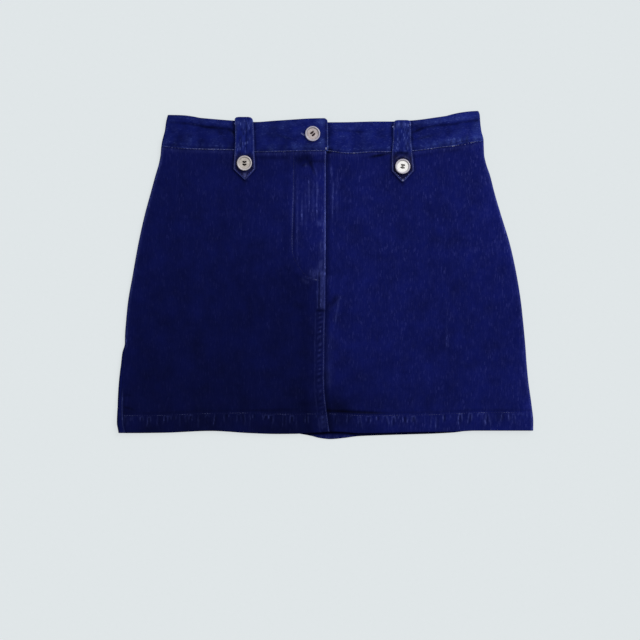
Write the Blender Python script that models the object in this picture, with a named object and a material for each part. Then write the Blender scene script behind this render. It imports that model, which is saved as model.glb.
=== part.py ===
"""A denim mini skirt laid flat, face up, built from the pieces its maker would cut and sew.

Sizes are in millimetres and become metres when a mesh is made. +X runs across the skirt to the
viewer's right, +Y from the hem to the waist, and +Z up from the surface it lies on. The skirt
is a tube pressed flat: the back panel lies on the surface, the two front panels lie on the back,
and all three meet round the side folds. The waistband is the same kind of flat tube, open at
the centre front, where its left end laps over its right end.
"""

import math

import bmesh
import bpy
import numpy as np

MM = 0.001

# Thickness of each kind of wall, and the room between pieces
CLOTH = 1.2
HEM = 2.2
BAND = 2.0
TAB = 1.6
GAP = 0.3
LAP_GAP = 0.5

# Hem and centre front
PANEL_LENGTH = 353.0
HEM_DEPTH = 22.0
HEM_STEP = 1.4
FLY_WIDTH = 38.0
SEAM_LAP = 14.0
FLY_END_Y = 0.0
FLY_END_SOFTNESS = 14.0
LAP_SLOPE = 18.0
BAND_CUT_BACK = 4.0

# Loft of the front over the back
PANEL_LOFT = 0.7
SIDE_LOFT = 0.9
SIDE_LOFT_REACH = 34.0
WAIST_RISE = 1.1
WAIST_RISE_REACH = 17.0
FOLD_EASE = 40.0

# Outline of the side folds
SIDES = (
    # y, left, right
    (206.0, -197.0, 189.0),
    (200.0, -198.6, 191.2),
    (190.5, -200.9, 191.9),
    (180.5, -202.3, 193.1),
    (168.0, -205.5, 196.0),
    (159.0, -207.0, 196.3),
    (150.5, -207.7, 196.7),
    (139.0, -209.8, 199.1),
    (124.0, -214.2, 204.2),
    (103.0, -219.9, 209.5),
    (75.5, -227.4, 217.6),
    (38.0, -235.7, 229.0),
    (0.0, -242.5, 237.3),
    (-34.5, -248.5, 242.8),
    (-59.5, -251.0, 245.5),
    (-76.0, -252.2, 247.1),
    (-86.0, -252.4, 248.0),
    (-96.0, -255.2, 248.8),
    (-104.0, -256.4, 249.3),
    (-132.0, -259.6, 251.8),
    (-162.0, -261.6, 255.9),
    (-184.0, -262.3, 258.1),
    (-196.0, -260.4, 258.0),
)

# Waistband: height of its seam to the panels and of its top edge
WAIST_LEFT = (
    # x, seam, top
    (-207.0, 160.5, 200.0),
    (-182.0, 159.0, 199.2),
    (-158.0, 157.5, 196.3),
    (-118.0, 156.0, 192.9),
    (-89.0, 154.3, 191.1),
    (-64.0, 155.4, 192.8),
    (-43.0, 156.4, 194.1),
    (-20.0, 156.8, 195.5),
    (2.0, 157.0, 196.0),
)
WAIST_RIGHT = (
    # x, seam, top
    (-45.0, 155.8, 190.6),
    (2.0, 155.4, 190.7),
    (19.0, 153.4, 190.8),
    (59.0, 153.0, 191.7),
    (81.0, 154.0, 191.7),
    (109.0, 154.9, 193.3),
    (139.0, 159.4, 197.2),
    (167.0, 163.0, 201.3),
    (196.0, 167.0, 205.0),
)
WAIST_BACK = (
    # x, seam, top
    (-207.0, 160.5, 200.0),
    (-150.0, 157.0, 193.5),
    (-80.0, 154.5, 188.5),
    (0.0, 154.0, 186.5),
    (80.0, 154.5, 188.5),
    (140.0, 158.5, 195.0),
    (196.0, 167.0, 205.0),
)

# Folded edge of the hem on the front and on the back
HEMS = (
    # x, front, back
    (-262.0, -195.6, -195.6),
    (-249.0, -197.7, -196.6),
    (-205.0, -197.3, -194.6),
    (-145.0, -195.0, -193.0),
    (-95.0, -197.8, -194.0),
    (-64.0, -198.8, -196.4),
    (-39.0, -198.6, -198.0),
    (-22.0, -197.4, -200.6),
    (-8.0, -196.7, -204.0),
    (4.0, -196.0, -205.3),
    (20.0, -196.4, -204.0),
    (40.0, -197.9, -201.5),
    (70.0, -197.6, -200.3),
    (99.0, -196.7, -199.4),
    (130.0, -196.3, -198.5),
    (158.0, -196.0, -197.0),
    (186.0, -194.7, -193.8),
    (258.0, -194.7, -194.7),
)

# Free edge of the left front, which laps over the right front
LAP_EDGE = (
    # y, x
    (200.0, -0.6),
    (157.0, -0.8),
    (131.0, -1.6),
    (44.0, -1.9),
    (-43.0, -2.2),
    (-72.0, -3.3),
    (-138.0, -3.8),
    (-152.0, -2.7),
    (-181.0, 0.9),
    (-198.0, 3.4),
)

# How far the left side seam has rolled round its fold on to the front
SEAM_ROLL = (
    # y, roll
    (160.0, 0.0),
    (-80.0, 0.0),
    (-92.0, 2.4),
    (-104.0, 3.6),
    (-160.0, 6.6),
    (-196.0, 6.9),
)

# Largest folds of the two fronts: middle, half length, half width, direction and height
FOLDS = (
    # x, y, along, across, degrees, height
    (-165.0, 40.0, 95.0, 24.0, 82.0, 0.5),
    (-95.0, -60.0, 90.0, 22.0, 93.0, 0.4),
    (-205.0, -90.0, 70.0, 18.0, 80.0, 0.5),
    (-24.0, 138.0, 16.0, 9.0, 155.0, -0.5),
    (62.0, -60.0, 85.0, 22.0, 94.0, 0.5),
    (16.0, -42.0, 30.0, 9.0, 68.0, -0.5),
    (150.0, 20.0, 100.0, 26.0, 99.0, 0.6),
    (205.0, -100.0, 70.0, 18.0, 97.0, 0.5),
    (30.0, -158.0, 45.0, 9.0, 178.0, -0.4),
)

# Tabs, from the folded top to the point
TAB_LEFT = (
    # y, middle, width
    (197.3, -104.6, 22.0),
    (190.0, -103.6, 22.4),
    (170.0, -103.0, 23.2),
    (155.0, -102.8, 24.4),
    (132.0, -102.6, 26.2),
    (119.6, -101.0, 0.8),
)
TAB_RIGHT = (
    # y, middle, width
    (193.4, 94.7, 21.0),
    (186.0, 94.4, 21.4),
    (170.0, 94.3, 22.4),
    (152.4, 94.5, 25.0),
    (130.0, 95.4, 26.8),
    (116.8, 95.3, 0.8),
)
TAB_FOLD = 10.0
TAB_FOLD_STEPS = 5
TAB_SETTLE = 15.0
TAB_DOWN_STEPS = 8
TAB_REST = 0.1
TAB_TIP_LIFT = 0.9
TAB_COLUMNS = (-0.5, -0.46, 0.0, 0.46, 0.5)
TAB_EDGE_WALL = 0.55

# Buttons
BUTTONS = (
    # name, x, y, turn in degrees
    ("button_waist", -17.6, 176.3, 40.0),
    ("button_tab_left", -102.8, 139.6, 0.0),
    ("button_tab_right", 94.9, 135.5, 4.0),
)
BUTTON_RADIUS = 9.5
BUTTON_HEIGHT = 3.0
BUTTON_PROFILE = (
    # radius, height
    (0.0, 0.0),
    (7.6, 0.0),
    (9.1, 0.9),
    (BUTTON_RADIUS, 1.9),
    (9.0, 2.8),
    (8.0, BUTTON_HEIGHT),
    (6.9, 2.7),
    (6.2, 2.1),
    (0.0, 1.9),
)
BUTTON_SIDES = 22
HOLE_RADIUS = 0.95
HOLE_SPACING = 3.9
HOLE_SIDES = 6

# Rows of a panel from the waist seam (0) to the hem's fold (1), and of the band upwards
PANEL_SHARES = (
    [0.0, 0.022, 0.05, 0.09, 0.15, 0.23, 0.31, 0.39, 0.42, 0.45, 0.48, 0.52, 0.6]
    + [0.655, 0.69, 0.715, 0.75, 0.83]
    + [1 - (HEM_DEPTH + rise) / PANEL_LENGTH for rise in (24.0, 8.0, HEM_STEP, -HEM_STEP)]
    + [0.97, 0.997, 1.0]
)
BAND_SHARES = (0.0, 0.03, 0.27, 0.5, 0.73, 0.97, 1.0)

# Columns that panels and waistband share, so that their seams match: lengths round a side
# fold, distances from the lap's edge, and spans or shares of the flat stretches between them
FRONT_ROLLS = (0.15, 1.0, 2.0, 3.2, 5.5, 10.0, 18.0)
BACK_ROLLS = (-0.15, -1.0, -2.0, -3.2, -5.5, -12.0)
ROLLED_BACK = (-0.8, -2.0, -3.2, -5.5, -12.0)
ROLLED_STEPS = 4
LAP_STEPS = (48.0, 43.0, 38.0, 30.0, 23.0, 18.0, 14.0, 8.0, 3.0, 0.5, 0.0)
UNDER_STEPS = (-4.0, 4.0, 12.0, 22.0)
LEFT_SPANS = 7
HIDDEN_SPANS = 3
RIGHT_SPANS = 9
BACK_SHARES = (0.1, 0.2, 0.3, 0.38, 0.435, 0.475, 0.513, 0.55, 0.6, 0.67, 0.76, 0.85, 0.93)
SOFT_EDGE = 0.25

# Colour (linear) and roughness
DENIM = (0.008, 0.012, 0.085)
BAND_DENIM = (0.010, 0.016, 0.110)
BUTTON_SHELL = (0.46, 0.42, 0.40)
DENIM_ROUGHNESS = 0.85
BUTTON_ROUGHNESS = 0.35


# Curves and ramps


def curve(table, index, at):
    """A smooth curve through a table's rows that never swings past them."""
    x = np.array([row[0] for row in table])
    y = np.array([row[index] for row in table])
    if x[0] > x[-1]:
        x, y = x[::-1], y[::-1]
    steps = np.diff(y) / np.diff(x)
    before, after = steps[:-1], steps[1:]
    same_way = before * after > 0
    inside = 2 * before * after / np.where(same_way, before + after, 1.0) * same_way
    slopes = np.concatenate([steps[:1], inside, steps[-1:]])
    at = np.clip(np.asarray(at, float), x[0], x[-1])
    i = np.clip(np.searchsorted(x, at) - 1, 0, len(x) - 2)
    width = x[i + 1] - x[i]
    t = (at - x[i]) / width
    start, end = slopes[i] * width, slopes[i + 1] * width
    rise = y[i + 1] - y[i]
    return y[i] + t * (start + t * ((3 * rise - 2 * start - end) + t * (start + end - 2 * rise)))


def ramp(low, high, at):
    """0 below low, 1 above high, and a smooth rise between."""
    t = np.clip((at - low) / (high - low), 0, 1)
    return t * t * (3 - 2 * t)


def left_edge(y):
    """Outermost point of the left fold."""
    return curve(SIDES, 1, y)


def right_edge(y):
    """Outermost point of the right fold."""
    return curve(SIDES, 2, y)


def lap_edge(y):
    """Free edge of the left front at the centre."""
    return curve(LAP_EDGE, 1, y)


def hidden_edge(y):
    """Edge of the right front under the left: the fly's width, then a lapped seam's."""
    wide = ramp(FLY_END_Y - FLY_END_SOFTNESS, FLY_END_Y + FLY_END_SOFTNESS, y)
    return lap_edge(y) - SEAM_LAP - (FLY_WIDTH - SEAM_LAP) * wide


# Heights of the flat layers


def hem_share(x, y, index, inner, outer):
    """1 inside the hem of the front (1) or back (2), falling to 0 between two depths."""
    return 1 - ramp(inner, outer, y - curve(HEMS, index, x))


def hem_wall(x, y, index):
    """Thickness of a panel: one ply, more in the turned hem."""
    inner, outer = HEM_DEPTH - HEM_STEP, HEM_DEPTH + HEM_STEP
    return CLOTH + (HEM - CLOTH) * hem_share(x, y, index, inner, outer)


def front_wall(x, y):
    """Thickness of a front panel."""
    return hem_wall(x, y, 1)


def back_wall(x, y):
    """Thickness of the back panel."""
    return hem_wall(x, y, 2)


def band_wall(x, y):
    """Thickness of the waistband, the same everywhere."""
    return BAND


def over_hem(x, y):
    """Extra height of cloth that bridges the hem beneath it and settles slowly behind it."""
    near_front = hem_share(x, y, 1, HEM_DEPTH + 5, HEM_DEPTH + 24)
    near_back = hem_share(x, y, 2, HEM_DEPTH + 5, HEM_DEPTH + 24)
    return (HEM - CLOTH) * np.maximum(near_front, near_back)


def lapped(x, y):
    """1 where the left front lies over the right one, falling to 0 beyond the hidden edge."""
    return ramp(-LAP_SLOPE, -5.0, x - hidden_edge(y))


def side_loft(x, y):
    """How far the springy side folds hold the front up, dying away from the nearer fold."""
    inside = np.minimum(x - left_edge(y), right_edge(y) - x)
    return SIDE_LOFT * np.exp(-np.maximum(inside, 0) / SIDE_LOFT_REACH)


def folds(x, y):
    """Sum of the soft folds, each a long Gaussian ridge or trough."""
    total = np.zeros(np.broadcast(x, y).shape)
    for middle_x, middle_y, along, across, degrees, height in FOLDS:
        turn = math.radians(degrees)
        dx, dy = x - middle_x, y - middle_y
        p = (dx * math.cos(turn) + dy * math.sin(turn)) / along
        q = (dy * math.cos(turn) - dx * math.sin(turn)) / across
        total = total + height * np.exp(-(p * p) - q * q)
    return total


def waist_rise(x, y, left):
    """How far a front panel climbs to meet the thicker waistband."""
    seam = curve(WAIST_LEFT if left else WAIST_RIGHT, 1, x)
    below = np.maximum(seam - y, 0)
    lift = WAIST_RISE + ((BAND - CLOTH) * lapped(x, y) if left else 0.0)
    return lift * np.exp(-((below / WAIST_RISE_REACH) ** 1.5))


def front_inner(x, y, left):
    """Underside of a front panel."""
    base = CLOTH + over_hem(x, y) + GAP + PANEL_LOFT
    base = base + side_loft(x, y) + folds(x, y) + waist_rise(x, y, left)
    if left:
        base = base + (CLOTH + over_hem(x, y) + LAP_GAP) * lapped(x, y)
    return base


def band_inner(x, y, left):
    """Underside of the front waistband; its left end lies over its right end."""
    base = BAND + GAP + side_loft(x, y)
    if left:
        base = base + (BAND + LAP_GAP) * lapped(x, y)
    return base


# The pressed tube


class Tube:
    """One row of the pressed tube, from its three heights across and its walls.

    A point of it is a pair: on the wall's outer face and on its inner face.
    """

    def __init__(self, y_left, y_right, y_back, inner, wall):
        self.y_left = y_left
        self.y_right = y_right
        self.y_back = y_back
        self.inner = inner
        self.wall, self.wall_behind = wall

    def front(self, x, left):
        """The front at x, on its left or right part."""
        y = float(self.y_left(x) if left else self.y_right(x))
        low = float(self.inner(x, y, left))
        return (x, y, low + float(self.wall(x, y))), (x, y, low)

    def back(self, x):
        """The back at x; its outer face lies on the surface."""
        y = float(self.y_back(x))
        return (x, y, 0.0), (x, y, float(self.wall_behind(x, y)))

    def fold(self, roll, left):
        """The wall at a length round a side fold, on to the front when positive.

        The fold is half a ring, as high as back and front together, and the wall runs on
        flat from both its ends.
        """
        y_front = self.y_left if left else self.y_right
        edge_at = left_edge if left else right_edge
        inward = 1.0 if left else -1.0
        y_fold = float(y_front(float(edge_at(0.0))))
        edge = float(edge_at(y_fold))
        wall = float(self.wall(edge, y_fold))
        radius = (float(self.inner(edge, y_fold, left)) + wall) / 2
        middle = radius - wall / 2
        spare = abs(roll) - middle * math.pi / 2
        if spare > 0:
            x = edge + inward * (radius + spare)
            low = float(self.inner(x, y_fold, left)) if roll > 0 else 0.0
            outer = (x, low + wall if roll > 0 else low)
            inner = (x, low if roll > 0 else low + wall)
        else:
            cos, sin = math.cos(roll / middle), math.sin(roll / middle)
            slim = radius - wall
            outer = (edge + inward * radius * (1 - cos), radius * (1 + sin))
            inner = (edge + inward * (radius - slim * cos), radius + slim * sin)
        y_flat = float((y_front if roll > 0 else self.y_back)(outer[0]))
        y = y_fold + (y_flat - y_fold) * min(abs(roll) / FOLD_EASE, 1.0)
        return (outer[0], y, outer[1]), (inner[0], y, inner[1])


def panel_row(share):
    """The skirt's row at a share of the way from the waist seam to the hem."""

    def across(waist, hem_index):
        def y_at(x):
            top = curve(waist, 1, x) - GAP
            return top + share * (curve(HEMS, hem_index, x) - top)

        return y_at

    heights = across(WAIST_LEFT, 1), across(WAIST_RIGHT, 1), across(WAIST_BACK, 2)
    return Tube(*heights, front_inner, (front_wall, back_wall))


def band_row(share):
    """The waistband's row at a share of the way from its lower to its top edge."""

    def across(waist):
        def y_at(x):
            low, high = curve(waist, 1, x), curve(waist, 2, x)
            return low + share * (high - low)

        return y_at

    heights = across(WAIST_LEFT), across(WAIST_RIGHT), across(WAIST_BACK)
    return Tube(*heights, band_inner, (band_wall, band_wall))


# Rows of the sewn pieces


def between(point_at, start, end, shares):
    """Points between two x positions at shares of the way, or evenly over whole spans."""
    if isinstance(shares, int):
        shares = [k / shares for k in range(1, shares)]
    return [point_at(start + (end - start) * share) for share in shares]


def left_part(tube, turned):
    """The left front's points from its side fold to the edge that laps over."""

    def point_at(x):
        return tube.front(x, True)

    edge = float(lap_edge(float(tube.y_left(0.0))))
    lap = [point_at(edge - step) for step in LAP_STEPS]
    return turned + between(point_at, turned[-1][0][0], lap[0][0][0], LEFT_SPANS) + lap


def right_part(tube, turned, cut_back=0.0):
    """The right front's points from its hidden edge under the left to its side fold."""

    def point_at(x):
        return tube.front(x, False)

    y = float(tube.y_right(0.0))
    hidden, edge = float(hidden_edge(y)) + cut_back, float(lap_edge(y))
    under = [point_at(hidden)]
    under += between(point_at, hidden, edge + UNDER_STEPS[0], HIDDEN_SPANS)
    under += [point_at(edge + step) for step in UNDER_STEPS]
    return under + between(point_at, under[-1][0][0], turned[0][0][0], RIGHT_SPANS) + turned


def seam_roll(tube):
    """How far round the left fold the side seam of a row lies."""
    return float(curve(SEAM_ROLL, 1, tube.y_left(float(left_edge(0.0)))))


def left_front_rows():
    """Rows of the left front, from the side seam to the edge that laps over."""
    rows = []
    for share in PANEL_SHARES:
        tube = panel_row(share)
        turned = [tube.fold(seam_roll(tube) + step, True) for step in FRONT_ROLLS]
        rows.append(left_part(tube, turned))
    return rows


def right_front_rows():
    """Rows of the right front, from its hidden edge under the left to the side seam."""
    rows = []
    for share in PANEL_SHARES:
        tube = panel_row(share)
        rows.append(right_part(tube, [tube.fold(step, False) for step in FRONT_ROLLS[::-1]]))
    return rows


def back_rows():
    """Rows of the back, from the left seam, under the whole skirt, to the right seam."""
    rows = []
    for share in PANEL_SHARES:
        tube = panel_row(share)
        first = seam_roll(tube) - GAP / 2
        steps = list(np.linspace(first, ROLLED_BACK[0], ROLLED_STEPS + 1)) + list(ROLLED_BACK[1:])
        left = [tube.fold(float(step), True) for step in steps]
        right = [tube.fold(step, False) for step in BACK_ROLLS[::-1]]
        flat = between(tube.back, left[-1][0][0], right[0][0][0], BACK_SHARES)
        rows.append(left + flat + right)
    return rows


def band_rows():
    """Rows of the waistband: left end, left fold, back, right fold, hidden right end."""
    rows = []
    for share in BAND_SHARES:
        tube = band_row(share)
        front = left_part(tube, [tube.fold(roll, True) for roll in FRONT_ROLLS])[::-1]
        left = [tube.fold(roll, True) for roll in BACK_ROLLS]
        right = [tube.fold(roll, False) for roll in BACK_ROLLS[::-1]]
        back = between(tube.back, left[-1][0][0], right[0][0][0], BACK_SHARES)
        turned = [tube.fold(roll, False) for roll in FRONT_ROLLS[::-1]]
        rows.append(front + left + back + right + right_part(tube, turned, BAND_CUT_BACK)[::-1])
    return rows


# Tabs


def front_top(x, y):
    """Upper surface of the fronts or the band at a point away from the centre lap."""
    left = x < 0
    if y >= curve(WAIST_LEFT if left else WAIST_RIGHT, 1, x) - GAP:
        return float(band_inner(x, y, left)) + BAND
    return float(front_inner(x, y, left)) + float(front_wall(x, y))


def top_under(table, y):
    """Highest point of what lies under a tab at this height."""
    middle, width = float(curve(table, 1, y)), float(curve(table, 2, y))
    return max(front_top(middle + width * share, y) for share in (-0.5, -0.25, 0.0, 0.25, 0.5))


def tab_fold_path(table):
    """Middle line of the end folded under at a tab's top, as (y, z), and its height."""
    radius = (TAB + GAP) / 2
    high = table[0][0] - radius - TAB / 2
    rest = top_under(table, high - 4) + GAP + TAB / 2
    path = [(high - TAB_FOLD, rest), (high - TAB_FOLD / 2, rest), (high, rest)]
    for step in range(1, TAB_FOLD_STEPS):
        turn = math.pi * step / TAB_FOLD_STEPS
        path.append((high + radius * math.sin(turn), rest + radius * (1 - math.cos(turn))))
    upper = rest + 2 * radius
    return path + [(high, upper), (high - TAB_FOLD, upper + TAB_REST)], high


def tab_hang_path(table, high):
    """Middle line of a tab below its folded top, as (y, z).

    It bridges the step at the waist seam and settles on the panel, with its point a little
    up.
    """
    corner, tip = table[-2][0], table[-1][0]
    seam = float(curve(WAIST_LEFT if table is TAB_LEFT else WAIST_RIGHT, 1, table[0][1]))
    on_band = top_under(table, seam + 6)
    down = list(np.linspace(high - TAB_FOLD - TAB_SETTLE, corner, TAB_DOWN_STEPS))
    path = []
    for y in down + [(corner + tip) / 2, tip]:
        over = max(top_under(table, y + 3), top_under(table, y))
        bridge = on_band - (on_band - over) * float(ramp(2.0, 16.0, seam - y))
        lift = TAB_TIP_LIFT * float(ramp(0.0, corner - tip, corner - y))
        path.append((y, max(over, bridge) + GAP + TAB / 2 + TAB_REST + lift))
    return path


def tab_grids(table):
    """The tab's two faces: its middle line moved out by half the wall along its normal."""
    fold, high = tab_fold_path(table)
    path = np.array(fold + tab_hang_path(table, high))
    ahead = np.gradient(path, axis=0)
    ahead /= np.linalg.norm(ahead, axis=1)[:, None]
    corner, tip = table[-2], table[-1]
    outer, inner = [], []
    for (y, z), (ahead_y, ahead_z) in zip(path, ahead):
        middle, width = float(curve(table, 1, y)), float(curve(table, 2, y))
        if y < corner[0]:
            share = (y - tip[0]) / (corner[0] - tip[0])
            middle = tip[1] + (corner[1] - tip[1]) * share
            width = tip[2] + (corner[2] - tip[2]) * share
        up_y, up_z = ahead_z * TAB / 2, -ahead_y * TAB / 2
        across = [middle + width * column for column in TAB_COLUMNS]
        slim = (TAB_EDGE_WALL, 1.0, 1.0, 1.0, TAB_EDGE_WALL)
        outer.append([(x, y + up_y * s, z + up_z * s) for x, s in zip(across, slim)])
        inner.append([(x, y - up_y, z - up_z) for x in across])
    return np.array(outer).transpose(1, 0, 2), np.array(inner).transpose(1, 0, 2)


# Meshes


def clear_scene():
    """Removes every object that is already in the file."""
    for old in list(bpy.data.objects):
        bpy.data.objects.remove(old)


def material(name, colour, roughness):
    """A plain Principled material, not metallic."""
    made = bpy.data.materials.new(name)
    made.use_nodes = True
    shader = made.node_tree.nodes["Principled BSDF"]
    shader.inputs["Base Color"].default_value = (*colour, 1.0)
    shader.inputs["Roughness"].default_value = roughness
    shader.inputs["Metallic"].default_value = 0.0
    return made


def grids(rows):
    """Outer and inner grid of points, columns first, from rows of point pairs."""
    pairs = np.array(rows, float)
    return pairs[:, :, 0].transpose(1, 0, 2).copy(), pairs[:, :, 1].transpose(1, 0, 2).copy()


def soften(outer, inner, axis, index):
    """Softens a free edge: the outer face sinks there by a share of the wall."""
    place = [slice(None)] * 3
    place[axis] = index
    outer[tuple(place)] -= (outer[tuple(place)] - inner[tuple(place)]) * SOFT_EDGE


def border(index):
    """The points round a grid's edge, in order."""
    first, last = list(index[:, 0]), list(index[-1, 1:])
    return first + last + list(index[-2::-1, -1]) + list(index[0, -2:0:-1])


def wall_mesh(name, outer, inner, finish):
    """A closed wall between two grids of points, with a rim round its four edges."""
    columns, rows = outer.shape[:2]
    count = columns * rows
    index = np.arange(count).reshape(columns, rows)
    top = np.stack([index[:-1, :-1], index[1:, :-1], index[1:, 1:], index[:-1, 1:]], axis=-1)
    top = top.reshape(-1, 4)
    rim = border(index)
    sides = [(b, a, a + count, b + count) for a, b in zip(rim, rim[1:] + rim[:1])]
    faces = np.concatenate([top, top[:, ::-1] + count, np.array(sides)])
    points = np.concatenate([outer.reshape(-1, 3), inner.reshape(-1, 3)]) * MM
    mesh = bpy.data.meshes.new(name)
    mesh.from_pydata(points.tolist(), [], faces.tolist())
    solid = bmesh.new()
    solid.from_mesh(mesh)
    bmesh.ops.triangulate(solid, faces=solid.faces)
    if solid.calc_volume(signed=True) < 0:
        bmesh.ops.reverse_faces(solid, faces=solid.faces)
    solid.to_mesh(mesh)
    solid.free()
    mesh.shade_smooth()
    mesh.set_sharp_from_angle(angle=math.radians(50))
    made = bpy.data.objects.new(name, mesh)
    made.data.materials.append(finish)
    bpy.context.scene.collection.objects.link(made)


# Buttons


def button_seat(name, x, y):
    """Height of the cloth that carries a button, at the highest point under it."""
    if name == "button_waist":
        reach = (-BUTTON_RADIUS, 0.0, BUTTON_RADIUS)
        return max(float(band_inner(x + dx, y, True)) for dx in reach) + BAND
    table = TAB_LEFT if x < 0 else TAB_RIGHT
    path = tab_hang_path(table, tab_fold_path(table)[1])
    near = [z for path_y, z in path if abs(path_y - y) < BUTTON_RADIUS + 4]
    return max(near) + TAB / 2


def button_mesh():
    """A turned disc with a raised rim and a shallow dish, spun about Z with its base at 0."""
    disc = bmesh.new()
    corners = [disc.verts.new((radius * MM, 0, height * MM)) for radius, height in BUTTON_PROFILE]
    edges = [disc.edges.new(pair) for pair in zip(corners, corners[1:])]
    bmesh.ops.spin(
        disc,
        geom=corners + edges,
        axis=(0, 0, 1),
        cent=(0, 0, 0),
        steps=BUTTON_SIDES,
        angle=math.tau,
    )
    bmesh.ops.remove_doubles(disc, verts=disc.verts, dist=0.01 * MM)
    bmesh.ops.recalc_face_normals(disc, faces=disc.faces)
    mesh = bpy.data.meshes.new("button")
    disc.to_mesh(mesh)
    disc.free()
    mesh.shade_smooth()
    mesh.set_sharp_from_angle(angle=math.radians(35))
    return mesh


def hole_cutter(name):
    """Four pegs that cut a button's thread holes, as one hidden object."""
    pegs = bmesh.new()
    for side_x in (-1, 1):
        for side_y in (-1, 1):
            peg = bmesh.ops.create_cone(
                pegs,
                cap_ends=True,
                segments=HOLE_SIDES,
                radius1=HOLE_RADIUS * MM,
                radius2=HOLE_RADIUS * MM,
                depth=4 * BUTTON_HEIGHT * MM,
            )
            place = (side_x * HOLE_SPACING / 2 * MM, side_y * HOLE_SPACING / 2 * MM, 0)
            bmesh.ops.translate(pegs, verts=peg["verts"], vec=place)
    mesh = bpy.data.meshes.new(name)
    pegs.to_mesh(mesh)
    pegs.free()
    cutter = bpy.data.objects.new(name, mesh)
    cutter.hide_render = True
    cutter.display_type = "WIRE"
    return cutter


def add_button(name, x, y, turn, shift, finish):
    """One button, on the cloth that carries it, with its holes cut through."""
    button = bpy.data.objects.new(name, button_mesh())
    button.data.materials.append(finish)
    seat = button_seat(name, x, y) + GAP
    button.location = ((x + shift[0]) * MM, (y + shift[1]) * MM, seat * MM)
    button.rotation_euler = (0, 0, math.radians(turn))
    cutter = hole_cutter("holes_" + name)
    cutter.parent = button
    bpy.context.scene.collection.objects.link(button)
    bpy.context.scene.collection.objects.link(cutter)
    cut = button.modifiers.new("thread_holes", "BOOLEAN")
    cut.operation = "DIFFERENCE"
    cut.object = cutter


# The skirt


def centre_shift():
    """Moves the middle of the outline to the origin."""
    left, right = min(row[1] for row in SIDES), max(row[2] for row in SIDES)
    low, high = min(row[2] for row in HEMS), max(row[2] for row in WAIST_RIGHT)
    return np.array([-(left + right) / 2, -(low + high) / 2, 0.0])


def main():
    """Makes every piece."""
    clear_scene()
    denim = material("indigo_denim", DENIM, DENIM_ROUGHNESS)
    band_denim = material("indigo_denim_band", BAND_DENIM, DENIM_ROUGHNESS)
    button_shell = material("button_shell", BUTTON_SHELL, BUTTON_ROUGHNESS)
    shift = centre_shift()

    front_left, front_right = grids(left_front_rows()), grids(right_front_rows())
    back, band = grids(back_rows()), grids(band_rows())
    soften(*front_left, axis=0, index=-1)
    soften(*front_left, axis=1, index=-1)
    soften(*front_right, axis=1, index=-1)
    soften(*band, axis=0, index=0)
    soften(*band, axis=1, index=0)
    soften(*band, axis=1, index=-1)

    pieces = (
        ("back_panel", back, denim),
        ("front_left", front_left, denim),
        ("front_right", front_right, denim),
        ("waistband", band, band_denim),
        ("tab_left", tab_grids(TAB_LEFT), band_denim),
        ("tab_right", tab_grids(TAB_RIGHT), band_denim),
    )
    for name, (outer, inner), finish in pieces:
        wall_mesh(name, outer + shift, inner + shift, finish)
    for name, x, y, turn in BUTTONS:
        add_button(name, x, y, turn, shift, button_shell)


main()
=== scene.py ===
"""Looks of a denim mini skirt that lies flat, face up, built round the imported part's frame.

Sizes and places are in millimetres on the skirt's pattern, as its maker would draw them: x runs
across the skirt to the viewer's right, y from the hem to the waist, z up from the surface it lies
on. They become metres in the frame's own place only when a mesh is made.
"""

import logging
import math
from collections.abc import Iterable
from dataclasses import dataclass
from enum import Enum

import bmesh
import bpy
import numpy as np
from numpy.typing import NDArray
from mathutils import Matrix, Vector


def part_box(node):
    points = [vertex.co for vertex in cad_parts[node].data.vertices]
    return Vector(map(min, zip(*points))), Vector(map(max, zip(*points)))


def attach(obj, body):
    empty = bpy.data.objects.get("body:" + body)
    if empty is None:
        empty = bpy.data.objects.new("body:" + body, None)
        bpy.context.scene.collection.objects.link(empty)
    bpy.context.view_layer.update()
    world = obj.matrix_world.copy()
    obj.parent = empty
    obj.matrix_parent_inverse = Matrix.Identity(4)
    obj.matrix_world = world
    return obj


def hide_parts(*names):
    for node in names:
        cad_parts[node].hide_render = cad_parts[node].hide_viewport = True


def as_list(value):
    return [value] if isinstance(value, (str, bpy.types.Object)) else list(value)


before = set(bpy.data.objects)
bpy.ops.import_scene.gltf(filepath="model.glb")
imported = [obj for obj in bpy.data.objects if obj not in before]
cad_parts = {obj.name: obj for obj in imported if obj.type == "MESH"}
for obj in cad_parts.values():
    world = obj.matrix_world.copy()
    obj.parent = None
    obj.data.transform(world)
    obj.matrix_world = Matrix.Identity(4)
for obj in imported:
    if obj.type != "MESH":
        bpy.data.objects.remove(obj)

Floats = NDArray[np.float64]
Ints = NDArray[np.int64]
Values = Floats | float
Row = tuple[float, ...]
Table = tuple[Row, ...]
Marks = dict[str, Floats]
Material = bpy.types.Material
Piece = bpy.types.Object

LOG = logging.getLogger("skirt")
MM = 0.001
BODY = "root"

# Middle of the part's outline on the pattern, which the frame puts at its origin
PATTERN_MIDDLE = (-2.1, -0.15)


class Side(Enum):
    """Which half of the skirt, as the viewer sees it."""

    LEFT = 1
    RIGHT = -1


# Small tools for curves and meshes


def smooth_step(low: float, high: float, at: Floats) -> Floats:
    """A smooth rise: t * t * (3 - 2 * t), where t is the share of the way from low to high.

    Args:
        low: Where it starts to rise from 0.
        high: Where it reaches 1.
        at: Where it is read.

    Returns:
        0 to 1 at each place.
    """
    t = np.clip((at - low) / (high - low), 0, 1)
    return t * t * (3 - 2 * t)


def bell(distance: Floats, width: float) -> Floats:
    """exp(-(distance / width) ** 2), which is 1 at 0 and nearly 0 two widths away."""
    return np.exp(-((distance / width) ** 2))


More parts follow.
